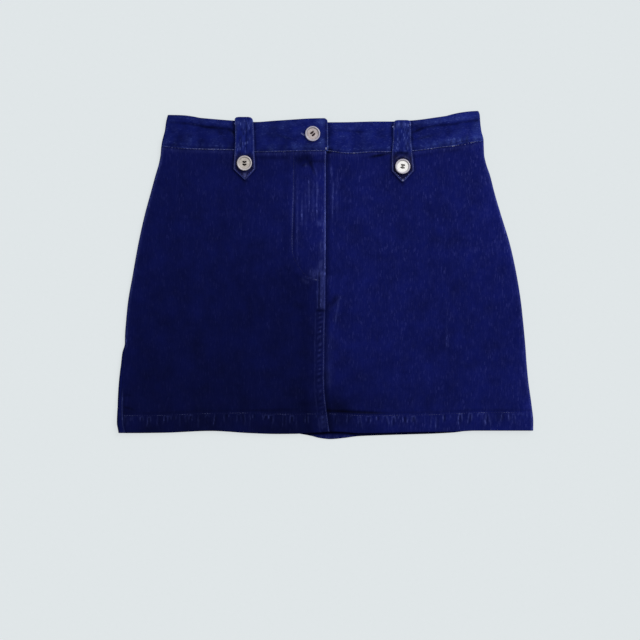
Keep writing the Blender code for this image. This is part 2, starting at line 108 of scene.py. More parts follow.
@dataclass(frozen=True)
class Curve:
    """A smooth curve through known points that never swings past them."""

    rows: Table
    column: int = 1

    def __call__(self, at: Floats | float) -> Floats:
        """A cubic between each two points.

        The slope at a point is the harmonic mean of the slopes on both sides of it, and 0 where
        the curve turns.

        Args:
            at: Where it is read.

        Returns:
            The curve's value there.
        """
        x = np.array([row[0] for row in self.rows])
        y = np.array([row[self.column] for row in self.rows])
        if x[0] > x[-1]:
            x, y = x[::-1], y[::-1]
        steps = np.diff(y) / np.diff(x)
        before, after = steps[:-1], steps[1:]
        same_way = before * after > 0
        inside = 2 * before * after / np.where(same_way, before + after, 1) * same_way
        slopes = np.concatenate([steps[:1], inside, steps[-1:]])
        at = np.clip(np.asarray(at, float), x[0], x[-1])
        i = np.clip(np.searchsorted(x, at) - 1, 0, len(x) - 2)
        width, rise = x[i + 1] - x[i], y[i + 1] - y[i]
        t = (at - x[i]) / width
        start, end = slopes[i] * width, slopes[i + 1] * width
        return y[i] + t * (start + t * (3 * rise - 2 * start - end + t * (start + end - 2 * rise)))


def path_through(points: Table, step: float) -> Floats:
    """A smooth path through points in the plane, read at even steps.

    x and y are each a smooth curve of the length along the straight lines between the points.

    Args:
        points: x and y of each point.
        step: Distance between the path's own points.

    Returns:
        An array of x and y, one row for each point.
    """
    place = np.array(points, float)
    length = lengths(place)
    at = np.linspace(0, length[-1], max(2, int(length[-1] / step) + 1))
    knots = tuple((float(s), float(x), float(y)) for s, (x, y) in zip(length, place))
    return np.stack([Curve(knots, 1)(at), Curve(knots, 2)(at)], axis=-1)


def nearest(path: Floats, x: Floats, y: Floats) -> tuple[Floats, Floats]:
    """Distance from places to the nearest point of a path, and how far along it that is.

    Args:
        path: The path's x and y, closely spaced.
        x: Places across.
        y: Places along.

    Returns:
        The distance, and the length along the path to its nearest point.
    """
    length = lengths(path)
    best, where = np.full(x.shape, np.inf), np.zeros(x.shape)
    for (px, py), s in zip(path, length):
        distance = np.hypot(x - px, y - py)
        closer = distance < best
        best, where = np.where(closer, distance, best), np.where(closer, s, where)
    return best, where


def between_rolls(start: Floats, end: Floats, near: Row, spans: int, far: Row) -> Floats:
    """Places across a row: fixed steps beside both its ends, and even spans between them.

    Args:
        start: Where each row starts.
        end: Where each row ends.
        near: Distances from the start.
        spans: How many even spans lie between the two sets of steps.
        far: Distances from the end, largest first.

    Returns:
        An array of columns by rows.
    """
    way = np.sign(end - start)
    first = start + way * np.array(near)[:, None]
    last = end - way * np.array(far)[:, None]
    share = np.linspace(0, 1, spans + 1)[1:-1, None]
    return np.concatenate([first, first[-1] + share * (last[0] - first[-1]), last])


def steps_growing(first: float, growth: float, reach: float) -> tuple[float, ...]:
    """Distances from 0 to reach, each step longer than the one before by a factor.

    Args:
        first: About the length of the first step.
        growth: Factor from one step to the next, above 1.
        reach: Where they end.

    Returns:
        The distances, the first of them 0.
    """
    count = int(math.log(1 + reach * (growth - 1) / first) / math.log(growth))
    places = first * (growth ** np.arange(count + 1) - 1) / (growth - 1)
    return tuple((places * reach / places[-1]).tolist())


# Materials


def linear(hex_code: str) -> tuple[float, float, float, float]:
    """An sRGB hex colour as the linear one that Blender uses.

    Each channel c is c / 12.92 up to 0.04045, and ((c + 0.055) / 1.055) ** 2.4 above that.

    Args:
        hex_code: Six hex digits.

    Returns:
        Red, green, blue and an alpha of 1.
    """
    channels = [int(hex_code[k : k + 2], 16) / 255 for k in (0, 2, 4)]
    r, g, b = (c / 12.92 if c <= 0.04045 else ((c + 0.055) / 1.055) ** 2.4 for c in channels)
    return r, g, b, 1


class Recipe:
    """A Principled material in the making, which knows its nodes' results by name."""

    def __init__(self, name: str, constants: dict[str, object]) -> None:
        """Starts a material whose constant values are on the shader's own sockets.

        Args:
            name: What the real material is.
            constants: The shader's values by socket.
        """
        self.material = bpy.data.materials.new(name)
        self.material.use_nodes = True
        self.tree = self.material.node_tree
        self.shader = next(n for n in self.tree.nodes if n.type == "BSDF_PRINCIPLED")
        for socket, value in constants.items():
            self.shader.inputs[socket].default_value = value
        self.results: dict[str, bpy.types.NodeSocket] = {}

    def add(
        self, name: str, kind: str, inputs: dict, output: int | str = 0, **settings: object
    ) -> None:
        """Adds a node, sets its properties, links or fills its inputs and keeps its result.

        Args:
            name: What its result is called.
            kind: The node's type, without the word that all of them start with.
            inputs: For each input, the name of the result that feeds it or its plain value.
            output: The output that is its result.
            **settings: Properties of the node.
        """
        node = self.tree.nodes.new("ShaderNode" + kind)
        for key, value in settings.items():
            setattr(node, key, value)
        for key, value in inputs.items():
            if isinstance(value, str):
                self.tree.links.new(self.results[value], node.inputs[key])
            else:
                node.inputs[key].default_value = value
        self.results[name] = node.outputs[output]

    def work_out(self, steps: Iterable[tuple]) -> None:
        """Adds a chain of sums and mixtures, each of which may use the results before it.

        Args:
            steps: For each, its result's name, its operation and what goes into it. MIX takes a
                factor and two colours, MIX_PAST also goes beyond them, and the others take the
                numbers of a Math node, so that MULTIPLY_ADD is a * b + c.
        """
        for name, operation, *values in steps:
            if operation in ("MIX", "MIX_PAST"):
                inputs, kept = dict(zip((0, 6, 7), values)), operation == "MIX"
                self.add(name, "Mix", inputs, 2, data_type="RGBA", clamp_factor=kept)
            else:
                self.add(name, "Math", dict(enumerate(values)), operation=operation)

    def finish(self, **feeds: str) -> Material:
        """Links results to the shader.

        Args:
            **feeds: The results' names by the shader's sockets, with _ for a space.

        Returns:
            The finished material.
        """
        for socket, result in feeds.items():
            place = self.shader.inputs[socket.replace("_", " ")]
            self.tree.links.new(self.results[result], place)
        return self.material


@dataclass(frozen=True)
class DenimFinish:
    """Indigo denim: a warp-faced cotton twill, ring dyed and lightly washed.

    To the eye it is a deep matt violet blue, softly clouded. Where it has been washed, short
    pale slubs lie along the warp in loose bunches, and an edge that was rubbed is paler and
    greyer.
    """

    name: str
    deep: str = "050829"
    indigo: str = "0e1558"
    fleck: str = "4f55a4"
    worn: str = "4d579f"
    soil: str = "18162b"
    soil_rubbed: str = "62648c"
    shadow: str = "01020f"
    sheen: str = "5560c8"
    # Warp threads lie 0.45 mm apart, too fine to show from where the photograph was taken, so
    # the grains are a few threads wide: width and length of each kind, and its share
    grains: Table = ((1.5, 3.6, 0.36), (1.5, 22, 0.38), (7, 10, 0.26))
    # Width of a yarn and length of its slubs, a few threads wide too
    slub: tuple[float, float] = (1.15, 4)
    # Size of the bunches that the slubs gather in, of the dye's clouds, and of the slubs' drift
    bunch: tuple[float, float] = (7.8, 22.1)
    cloud: float = 34.0
    drift: tuple[float, float, float] = (60, 90, 3)
    relief: float = 0.1
    # How strongly the specks, the bright slubs and the dull ones show
    speck: float = 0.46
    bright: float = 0.42
    dull: float = 0.2

    def noises(self) -> dict[str, tuple[float, float]]:
        """The noises that the grain, the clouds and the slubs are made from.

        Returns:
            Width and length of each one's grain, in millimetres, by its name.
        """
        sizes = {f"grain {k}": row[:2] for k, row in enumerate(self.grains)}
        clouds = {"cloud": (self.cloud,) * 2, "small cloud": (self.cloud / 2.4, self.cloud / 2)}
        return {**sizes, **clouds, "bunch": self.bunch, "drift": self.drift[:2]}

    def build(self) -> Material:
        """Makes the material on the cloth's own UV map, which is in metres.

        The colour goes from deep to indigo by the wash value and two sizes of cloud. The wash value
        holds both the dye's wash and painted light, a broad spread of lighter and darker cloth. The
        grain is the sum of its noises. Slubs are cells with a random value each: a yarn's columns
        drift by a noise and start at random heights. The highest fifth of the cells, more where a
        noise bunches them, are bright, and the lowest seventh dull. The grain above a limit and the
        bright slubs make the specks, which mix in the fleck colour by the square of the wash value
        and the worn colour by the wear. Soil covers that, paler where it is worn, and painted shade
        darkens the result.

        Returns:
            The material.
        """
        constants = {"Roughness": 0.92, "Specular IOR Level": 0.03, "Metallic": 0}
        sheen = {"Weight": 0.012, "Roughness": 0.5, "Tint": linear(self.sheen)}
        recipe = Recipe(self.name, constants | {f"Sheen {k}": v for k, v in sheen.items()})
        recipe.add("place", "TexCoord", {}, "UV")
        for axis in "XY":
            recipe.add(axis, "SeparateXYZ", {"Vector": "place"}, axis)
        for key, (width, length) in self.noises().items():
            scale = (1 / (width * MM), 1 / (length * MM), 1)
            recipe.add("scaled", "Mapping", {"Vector": "place", "Scale": scale})
            values = {"Vector": "scaled", "Scale": 1, "Detail": 2, "Roughness": 0.55}
            recipe.add(key, "TexNoise", values, "Fac")
        for key in ("wash", "wear", "soil", "shade"):
            recipe.add(key, "Attribute", {}, "Fac", attribute_name=key)

        recipe.work_out((
            ("drift", "MULTIPLY", "drift", self.drift[2] * MM),
            ("across", "ADD", "X", "drift"),
            ("across", "DIVIDE", "across", self.slub[0] * MM),
            ("column", "FLOOR", "across"),
            ("along", "DIVIDE", "Y", self.slub[1] * MM),
        ))
        recipe.add("shift", "TexWhiteNoise", {"W": "column"}, "Value", noise_dimensions="1D")
        recipe.work_out((
            ("row", "MULTIPLY_ADD", "shift", 50, "along"),
            ("row", "FLOOR", "row"),
        ))
        recipe.add("cell", "CombineXYZ", {0: "column", 1: "row"})
        recipe.add("yarn", "TexWhiteNoise", {"Vector": "cell"}, "Value", noise_dimensions="2D")
        recipe.work_out(
            ("grain", "MULTIPLY_ADD", f"grain {k}", row[2], "grain" if k else 0)
            for k, row in enumerate(self.grains)
        )
        limits = {"Value": "grain", "From Min": 0.42, "From Max": 0.7}
        recipe.add("above", "MapRange", limits)
        recipe.work_out((
            ("specks", "POWER", "above", 1.8),
            ("bunch", "MULTIPLY_ADD", "bunch", 4, -1.1),
            ("bunch", "MAXIMUM", "bunch", 0.2),
            ("bright", "MULTIPLY_ADD", "yarn", 5, -4),
            ("bright", "MAXIMUM", "bright", 0),
            ("bright", "POWER", "bright", 1.8),
            ("bright", "MULTIPLY", "bright", "bunch"),
            ("bright", "MULTIPLY", "bright", self.bright),
            ("specks", "MULTIPLY_ADD", "specks", self.speck, "bright"),
            ("dull", "MULTIPLY_ADD", "yarn", -5, 0.75),
            ("dull", "MAXIMUM", "dull", 0),
            ("dull", "MULTIPLY", "dull", self.dull),
            ("cloud", "MULTIPLY_ADD", "cloud", 0.7, -0.5),
            ("cloud", "MULTIPLY_ADD", "small cloud", 0.3, "cloud"),
            # The wash value also carries painted light: a broad spread of lighter and darker cloth
            ("clouded", "MULTIPLY_ADD", "wash", 1.2, 0.4),
            ("tone", "MULTIPLY_ADD", "cloud", "clouded", "wash"),
            ("colour", "MIX_PAST", "tone", linear(self.deep), linear(self.indigo)),
            ("amount", "POWER", "wash", 2),
            ("amount", "MULTIPLY_ADD", "amount", 0.32, 0.04),
            ("amount", "MULTIPLY", "amount", "specks"),
            ("colour", "MIX", "amount", "colour", linear(self.fleck)),
            ("rubbed", "MULTIPLY_ADD", "specks", 2.6, 0.4),
            ("rubbed", "MULTIPLY", "wear", "rubbed"),
            ("colour", "MIX", "rubbed", "colour", linear(self.worn)),
            ("colour", "MIX", "dull", "colour", linear(self.deep)),
            ("grime", "MIX", "wear", linear(self.soil), linear(self.soil_rubbed)),
            ("colour", "MIX", "soil", "colour", "grime"),
            ("shade", "MULTIPLY", "shade", 0.9),
            ("colour", "MIX", "shade", "colour", linear(self.shadow)),
        ))
        limits = {"Value": "grain", "From Min": 0.3, "From Max": 0.7, "To Min": 1, "To Max": 0.86}
        recipe.add("rough", "MapRange", limits)
        bump = {"Height": "grain", "Distance": self.relief * MM, "Strength": 0.8}
        recipe.add("bump", "Bump", bump)
        return recipe.finish(Base_Color="colour", Roughness="rough", Normal="bump")


@dataclass(frozen=True)
class ThreadFinish:
    """Spun polyester sewing thread, dyed to match and rubbed pale where it stands proud.

    To the eye it is matt, twisted from two plies, and it comes and goes along a row.
    """

    name: str
    pale: str
    dyed: str
    bare: str = "c6c6d2"
    twist: float = 0.9

    def build(self) -> Material:
        """Makes the material.

        It mixes the dyed and the pale colour by the mesh's pale attribute times a fine noise
        that also raises the plies, and the bare fibre's colour in where pale is above 1.

        Returns:
            The material.
        """
        constants = {"Roughness": 0.8, "Specular IOR Level": 0.1, "Metallic": 0}
        recipe = Recipe(self.name, constants)
        recipe.add("place", "TexCoord", {}, "Object")
        values = {"Vector": "place", "Scale": 1 / (self.twist * MM), "Detail": 1}
        recipe.add("plies", "TexNoise", values, "Fac")
        recipe.add("pale", "Attribute", {}, "Fac", attribute_name="pale")
        recipe.work_out((
            ("share", "MULTIPLY_ADD", "plies", 1.2, 0.4),
            ("share", "MULTIPLY", "share", "pale"),
            ("colour", "MIX", "share", linear(self.dyed), linear(self.pale)),
            ("bare", "SUBTRACT", "pale", 1),
            ("colour", "MIX", "bare", "colour", linear(self.bare)),
        ))
        bump = {"Height": "plies", "Distance": 0.1 * MM, "Strength": 0.6}
        recipe.add("bump", "Bump", bump)
        return recipe.finish(Base_Color="colour", Normal="bump")


@dataclass(frozen=True)
class ButtonFinish:
    """Cast polyester button with pearl pigment, turned and tumble polished.

    To the eye it is a warm pale grey dish with a soft cloud of pearl in it, a cooler glossy rim,
    and a thin dull line of painted shade where the rim rises from the dish, with painted shade
    round its outer edge too.
    """

    name: str
    pale: str
    grey: str
    rim: str
    # Painted shade: the dark colour laid in where the rim meets the dish and round the outer edge
    painted_shade: str = "4c4444"
    cloud: float = 3.2

    def build(self) -> Material:
        """Makes the material.

        Two greys are mixed by a warped noise, then the rim's colour by the mesh's rim attribute
        and a dark colour of painted shade by its groove attribute.

        Returns:
            The material.
        """
        constants = {"Roughness": 0.3, "Specular IOR Level": 0.5, "Metallic": 0}
        recipe = Recipe(self.name, constants | {"Coat Weight": 0.2, "Coat Roughness": 0.15})
        recipe.add("place", "TexCoord", {}, "Object")
        for key in ("rim", "groove"):
            recipe.add(key, "Attribute", {}, "Fac", attribute_name=key)
        values = {"Vector": "place", "Scale": 1 / (self.cloud * MM), "Detail": 2}
        recipe.add("cloud", "TexNoise", values | {"Distortion": 0.8}, "Fac")
        limits = {"Value": "cloud", "From Min": 0.34, "From Max": 0.66}
        recipe.add("pearl", "MapRange", limits)
        recipe.work_out((
            ("colour", "MIX", "pearl", linear(self.grey), linear(self.pale)),
            ("colour", "MIX", "rim", "colour", linear(self.rim)),
            ("groove", "MULTIPLY", "groove", 0.75),
            ("colour", "MIX", "groove", "colour", linear(self.painted_shade)),
        ))
        limits = {"Value": "cloud", "From Min": 0.3, "From Max": 0.7, "To Min": 0.24, "To Max": 0.38}
        recipe.add("rough", "MapRange", limits)
        return recipe.finish(Base_Color="colour", Roughness="rough")


@dataclass(frozen=True)
class FloorFinish:
    """Opal acrylic of a light table: an even pale grey that swallows all but a trace of shadow."""

    name: str = "opal_acrylic_light_table"
    pale: str = "e1e7e9"
    grain: str = "dfe5e7"
    grains_per_metre: float = 220.0
    glow: float = 0.86

    def build(self) -> Material:
        """Makes the material: most of its light is its own, the rest is reflected.

        Returns:
            The material.
        """
        constants = {"Roughness": 1, "Specular IOR Level": 0, "Metallic": 0}
        recipe = Recipe(self.name, constants | {"Emission Strength": 1})
        recipe.add("place", "TexCoord", {}, "Object")
        values = {"Vector": "place", "Scale": self.grains_per_metre, "Detail": 2}
        recipe.add("grain", "TexNoise", values, "Fac")
        for share, key in ((1 - self.glow, "own"), (self.glow, "glow")):
            pair = [[*(share * c for c in linear(h)[:3]), 1] for h in (self.grain, self.pale)]
            recipe.work_out(((key, "MIX", "grain", *pair),))
        return recipe.finish(Base_Color="own", Emission_Color="glow")


# Meshes


def in_frame(points: Floats) -> Floats:
    """Points on the pattern, in millimetres, as points in the frame, in metres."""
    return (points - np.array([*PATTERN_MIDDLE, 0])) * MM


def lengths(path: Floats) -> Floats:
    """How far along a path each of its points is."""
    return np.concatenate([[0], np.cumsum(np.linalg.norm(np.diff(path, axis=0), axis=1))])


def unit(vectors: Floats) -> Floats:
    """Vectors over their own lengths."""
    return vectors / np.linalg.norm(vectors, axis=-1, keepdims=True)


def border(index: Ints) -> Ints:
    """The points round a grid's four edges, in order."""
    return np.concatenate([index[:, 0], index[-1, 1:], index[-2::-1, -1], index[0, -2:0:-1]])


def tube_faces(rings: int, around: int) -> Ints:
    """Faces between rings of equal length whose points are numbered in order."""
    return ring_faces(np.arange(rings * around).reshape(rings, around))


def ring_faces(index: Ints) -> Ints:
    """Four-sided faces between rings of points, each ring closed on itself.

    Args:
        index: Numbers of the points, with the rings as its last axis but one.

    Returns:
        The four points of each face.
    """
    beside = np.roll(index, -1, axis=-1)
    low, high = (index[..., :-1, :], beside[..., :-1, :]), (beside[..., 1:, :], index[..., 1:, :])
    return np.stack([*low, *high], axis=-1).reshape(-1, 4)


def enclosed(points: Floats, quads: Ints) -> float:
    """Signed volume inside four-sided faces: a sixth of the sum of their triple products."""
    a, b, c, d = (points[quads[:, k]] for k in range(4))
    return float(np.sum(a * np.cross(b, c)) + np.sum(a * np.cross(c, d))) / 6


def mark_points(mesh: bpy.types.Mesh, marks: Marks) -> None:
    """Gives a mesh's points their values.

    Args:
        mesh: The mesh.
        marks: Their values by the names that its material reads them by.
    """
    for key, values in marks.items():
        made = mesh.attributes.new(key, "FLOAT", "POINT")
        made.data.foreach_set("value", values.astype(np.float32).ravel())


def place_piece(name: str, mesh: bpy.types.Mesh, finish: Material) -> Piece:
    """A smooth object for a mesh, with its material, linked to the scene.

    Args:
        name: Name of the piece.
        mesh: Its mesh, already in the frame's place.
        finish: Its material.

    Returns:
        The object.
    """
    mesh.shade_smooth()
    made = bpy.data.objects.new(name, mesh)
    made.data.materials.append(finish)
    bpy.context.scene.collection.objects.link(made)
    return made


@dataclass(frozen=True)
class Shell:
    """A closed wall of cloth between two grids of points, with a rounded rim.

    Attributes:
        outer: Points of the face that shows, columns by rows by 3.
        inner: Points of the hidden face, the same shape.
        along: The cloth's own coordinates at each column and row, by 2.
        marks: For each attribute's name, its value at each column and row.
        rounding: How far the rim swells beyond the first and last column and row.
        rim_rings: Rings of points between the two faces.
    """

    outer: Floats
    inner: Floats
    along: Floats
    marks: Marks
    rounding: tuple[float, float, float, float]
    rim_rings: int = 3

    def swell(self) -> Floats:
        """The rim's outward direction times its rounding, at each point of the grid.

        Returns:
            An array of columns by rows by 3, which is 0 away from the edges.
        """
        out = np.zeros_like(self.outer)
        edges = (np.s_[0, :], np.s_[1, :]), (np.s_[-1, :], np.s_[-2, :])
        edges += (np.s_[:, 0], np.s_[:, 1]), (np.s_[:, -1], np.s_[:, -2])
        for (place, beside), size in zip(edges, self.rounding):
            out[place] += unit(self.outer[place] - self.outer[beside]) * size
        return out

    def build(self, name: str, finish: Material) -> Piece:
        """Makes the mesh, with a UV map in metres and the marks at its points.

        A rim point at ring k is the middle of the wall's edge, plus half the wall times
        cos(angle), plus the swell times sin(angle), with the angle going from 0 at the outer
        face to pi at the inner one.

        Args:
            name: Name of the piece.
            finish: Its material.

        Returns:
            The finished object.
        """
        columns, rows = self.outer.shape[:2]
        count = columns * rows
        index = np.arange(count).reshape(columns, rows)
        top = np.stack([index[:-1, :-1], index[1:, :-1], index[1:, 1:], index[:-1, 1:]], axis=-1)
        top = top.reshape(-1, 4)
        edge = border(index)
        outer, inner = self.outer.reshape(-1, 3), self.inner.reshape(-1, 3)
        middle, half = (outer[edge] + inner[edge]) / 2, (outer[edge] - inner[edge]) / 2
        swell = self.swell().reshape(-1, 3)[edge]
        angle = np.pi * np.arange(1, self.rim_rings + 1)[:, None, None] / (self.rim_rings + 1)
        rings = middle + half * np.cos(angle) + swell * np.sin(angle)
        points = np.concatenate([outer, inner, rings.reshape(-1, 3)])
        ring_index = 2 * count + np.arange(self.rim_rings * len(edge)).reshape(self.rim_rings, -1)
        loops = np.concatenate([edge[None], ring_index, edge[None] + count])
        ahead = np.roll(loops, -1, axis=1)
        rim = np.stack([ahead[:-1], loops[:-1], loops[1:], ahead[1:]], axis=-1).reshape(-1, 4)
        faces = np.concatenate([top, top[:, ::-1] + count, rim])
        if enclosed(points, faces) < 0:
            faces = faces[:, ::-1]

        def spread(values: Floats) -> Floats:
            """Values of the grid as values of all points, the rim's from its edge."""
            flat = values.reshape(count, -1)
            return np.concatenate([flat, flat, np.tile(flat[edge], (self.rim_rings, 1))])

        mesh = bpy.data.meshes.new(name)
        mesh.from_pydata(in_frame(points).tolist(), [], faces.tolist())
        along = (spread(self.along)[faces.ravel()] * MM).astype(np.float32)
        mesh.uv_layers.new(name="cloth").data.foreach_set("uv", along.ravel())
        mark_points(mesh, {key: spread(values) for key, values in self.marks.items()})
        return place_piece(name, mesh, finish)


# The pattern


def looks(height: Values = 0, wear: Values = 0, shade: Values = 0) -> Floats:
    """Height, wear and shade of the cloth as one array, with those three as its first axis."""
    return np.stack(np.broadcast_arrays(height, wear, shade)).astype(float)


def bumps(rows: Table, x: Floats, y: Floats, fading: int) -> Floats:
    """The sum of long soft bumps, which are creases, folds, ridges and rubbed streaks.

    A bump is exp(-p ** fading - q ** 2), with p and q the distances along and across it over
    its half length and half width.

    Args:
        rows: x, y, half length, half width and degrees of each bump, and what it adds.
        x: Places across.
        y: Places along.
        fading: Even power that says how late a bump fades towards its ends.

    Returns:
        An array with a layer for each thing that the bumps add.
    """
    total = np.zeros((len(rows[0]) - 5, *np.broadcast(x, y).shape))
    for middle_x, middle_y, length, width, degrees, *values in rows:
        turn = math.radians(degrees)
        dx, dy = x - middle_x, y - middle_y
        p = (dx * math.cos(turn) + dy * math.sin(turn)) / length
        q = (dy * math.cos(turn) - dx * math.sin(turn)) / width
        total += np.multiply.outer(values, np.exp(-(p**fading) - q * q))
    return total


def creases(rows: Table, x: Floats, y: Floats) -> Floats:
    """Bumps that add height, wear and shade and keep them along nearly all their length."""
    return bumps(rows, x, y, 4)


@dataclass(frozen=True)
class Drape:
    """The slight unevenness with which cloth lies: a sum of long crossing waves."""

    seed: int = 7
    waves: int = 18
    shortest: float = 38.0
    longest: float = 150.0
    height: float = 0.26

    def __call__(self, x: Floats, y: Floats) -> Floats:
        """Sum of cosines of random direction, length and phase, the long ones higher.

        Args:
            x: Places across.
            y: Places along.

        Returns:
            Height at each place, about a mean of 0.
        """
        draw = np.random.default_rng(self.seed)
        sizes = np.exp(draw.uniform(math.log(self.shortest), math.log(self.longest), self.waves))
        turns = draw.normal(0, 0.7, self.waves)
        phases = draw.uniform(0, 2 * math.pi, self.waves)
        total = np.zeros(np.broadcast(x, y).shape)
        for length, turn, phase in zip(sizes, turns, phases):
            across = (x * math.cos(turn) + y * math.sin(turn)) / length
            total = total + length * np.cos(2 * math.pi * across + phase)
        return self.height * total / math.sqrt(float(np.sum(sizes**2)))


@dataclass(frozen=True)
class Pattern:
    """Outline, walls and heights of the flat skirt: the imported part's, or close to them.

    The photograph's own lines are drawn where they leave the part's by up to a few millimetres.
    """

    # Walls of one ply, a turned hem, the waistband and a tab, and the air between pieces
    cloth: float = 1.2
    hem: float = 2.2
    band: float = 2.0
    tab: float = 1.6
    gap: float = 0.3
    lap_gap: float = 0.5
    # From the waist seam to the hem's fold, depth of the back's turning, half its step's width
    length: float = 353.0
    back_hem: float = 22.0
    hem_step: float = 1.4
    # How far the right front reaches under the left one, beside the fly and at the seam below,
    # with half the way between, how wide the left one comes down past that, and how much
    # shorter the waistband's right end is
    fly_width: float = 38.0
    seam_lap: float = 14.0
    fly_end_softness: float = 14.0
    lap_slope: float = 18.0
    band_cut_back: float = 4.0
    # Air under the fronts, what the side folds add and how far in, the same for the waist seam
    panel_loft: float = 0.7
    side_loft: float = 0.9
    side_reach: float = 34.0
    waist_rise: float = 1.1
    waist_reach: float = 17.0
    # How far from a side fold the flat walls take their own y, and the left end's round corner
    fold_ease: float = 40.0
    corner_radius: float = 5.0
    # Middle of each tab, which holds the cloth down
    tab_places: tuple[float, float] = (-102.6, 95.0)
    drape: Drape = Drape()
    # y, left, right
    sides: Table = (
        (206, -197, 189), (200, -198.6, 191.2), (190.5, -200.9, 191.9), (180.5, -202.3, 193.1),
        (168, -205.5, 196), (159, -207, 196.3), (150.5, -207.7, 196.7), (139, -209.8, 199.1),
        (124, -214.2, 204.2), (103, -219.9, 209.5), (75.5, -227.4, 217.6), (38, -235.7, 229),
        (0, -242.5, 237.3), (-34.5, -248.5, 242.8), (-59.5, -251, 245.5), (-76, -252.2, 247.1),
        (-86, -252.4, 248), (-96, -255.2, 248.8), (-104, -256.4, 249.3), (-132, -259.6, 251.8),
        (-162, -261.6, 255.9), (-184, -262.3, 258.1), (-196, -260.4, 258),
    )
    # x, seam, top of the waistband
    waist_left: Table = (
        (-207, 160.2, 200), (-182, 157.6, 199.2), (-158, 156.8, 196.3), (-118, 156, 192.9),
        (-89, 153.4, 191.1), (-64, 153.9, 192.8), (-43, 154.4, 194.1), (-20, 154.7, 195.5),
        (2, 154.8, 196),
    )
    waist_right: Table = (
        (-45, 154.4, 190.6), (2, 154.5, 190.7), (19, 152.2, 190.8), (31, 151.7, 191),
        (45, 152.6, 191.4), (59, 153.5, 191.7), (81, 153.4, 191.7), (109, 154.8, 193.3),
        (139, 158.6, 197.2), (167, 161.8, 201.3), (196, 167, 205),
    )
    waist_back: Table = (
        (-207, 160.5, 200), (-150, 157, 193.5), (-80, 154.5, 188.5), (0, 154, 186.5),
        (80, 154.5, 188.5), (140, 158.5, 195), (196, 167, 205),
    )
    # x, folded edge of the hem on the front, and on the back
    hems: Table = (
        (-262, -195.6, -195.6), (-249, -197.7, -196.6), (-205, -197.3, -194.6),
        (-145, -195, -193), (-95, -197.8, -194), (-64, -198.8, -196.4), (-39, -198.6, -198),
        (-22, -197.4, -200.6), (-8, -196.7, -204), (4, -196, -205.3), (20, -196.4, -204),
        (40, -197.9, -201.5), (70, -197.6, -200.3), (99, -196.7, -199.4), (130, -196.3, -198.5),
        (158, -196, -197), (186, -194.7, -193.8), (258, -194.7, -194.7),
    )
    # x, depth of the hem's turning on the front
    turnings: Table = (
        (-262, 23.2), (-146, 23.2), (-133, 23.6), (-113, 25.6), (-91, 26.8), (-65, 26.3),
        (-40, 25.7), (-21, 25), (-2, 24.2), (10, 23.7), (35, 23.7), (73, 23.4), (116, 22.8),
        (128, 22.9), (160, 24.1), (223, 24.1), (258, 23.7),
    )
    # y, free edge of the left front
    lap: Table = (
        (200, 1.3), (154.8, 1.7), (154.5, -0.9), (131, -1.3), (44, -1.5), (-43, -2), (-72, -3),
        (-138, -3.4), (-152, -2.4), (-181, 1.2), (-198, 3.6),
    )
    # y, how far the left side seam has rolled on to the front
    rolled: Table = (
        (160, 0), (-80, 0), (-92, 2.2), (-104, 3.2), (-160, 5.2), (-178, 6), (-196, 6.6),
    )
    # x, y, half length, half width, degrees, height
    folds: Table = (
        (-165, 40, 95, 24, 82, 0.5),
        (-95, -60, 90, 22, 93, 0.4),
        (-205, -90, 70, 18, 80, 0.5),
        (-24, 138, 16, 9, 155, -0.5),
        (62, -60, 85, 22, 94, 0.5),
        (16, -42, 30, 9, 68, -0.5),
        (150, 20, 100, 26, 99, 0.6),
        (205, -100, 70, 18, 97, 0.5),
        (30, -158, 45, 9, 178, -0.4),
    )

    def edge(self, y: Floats, side: Side) -> Floats:
        """Outermost point of a side's fold."""
        return Curve(self.sides, 1 if side is Side.LEFT else 2)(y)

    def lap_edge(self, y: Floats) -> Floats:
        """Free edge of the left front at the centre."""
        return Curve(self.lap)(y)

    def hidden_edge(self, y: Floats) -> Floats:
        """Edge of the right front under the left: the fly's width, then a lapped seam's."""
        soft, widening = self.fly_end_softness, self.fly_width - self.seam_lap
        return self.lap_edge(y) - self.seam_lap - widening * smooth_step(-soft, soft, y)

    def seam(self, x: Floats, side: Side) -> Floats:
        """Height on the pattern of the seam from a front to the waistband."""
        return Curve(self.waist_left if side is Side.LEFT else self.waist_right)(x)

    def hem_edge(self, x: Floats, behind: bool = False) -> Floats:
        """Folded edge of the hem on the front or, behind, on the back."""
        return Curve(self.hems, 2 if behind else 1)(x)

    def hem_turn(self, x: Floats, behind: bool = False) -> Floats:
        """Depth of the hem's turning on the front or, behind, on the back."""
        return self.back_hem + 0 * x if behind else Curve(self.turnings)(x)

    def hem_row(self, x: Floats, behind: bool = False) -> Floats:
        """y of the hem's row of stitches, just inside its turning."""
        return self.hem_edge(x, behind) + self.hem_turn(x, behind) - self.hem_step

    def hem_share(self, x: Floats, y: Floats, behind: bool, inner: float, outer: float) -> Floats:
        """1 in the hem, falling smoothly to 0 between two distances above its turning's end."""
        above = y - self.hem_edge(x, behind) - self.hem_turn(x, behind)
        return 1 - smooth_step(inner, outer, above)

    def wall(self, x: Floats, y: Floats, behind: bool = False) -> Floats:
        """Thickness of a front or, behind, of the back: one ply, and more in the turned hem."""
        share = self.hem_share(x, y, behind, -self.hem_step, self.hem_step)
        return self.cloth + (self.hem - self.cloth) * share

    def over_hem(self, x: Floats, y: Floats) -> Floats:
        """Extra height of cloth that bridges the hem beneath it and settles behind it."""
        shares = (self.hem_share(x, y, behind, 5, 24) for behind in (False, True))
        return (self.hem - self.cloth) * np.maximum(*shares)

    def lapped(self, x: Floats, y: Floats) -> Floats:
        """1 where the left front lies over the right one, falling to 0 beyond its edge."""
        return smooth_step(-self.lap_slope, -5, x - self.hidden_edge(y))

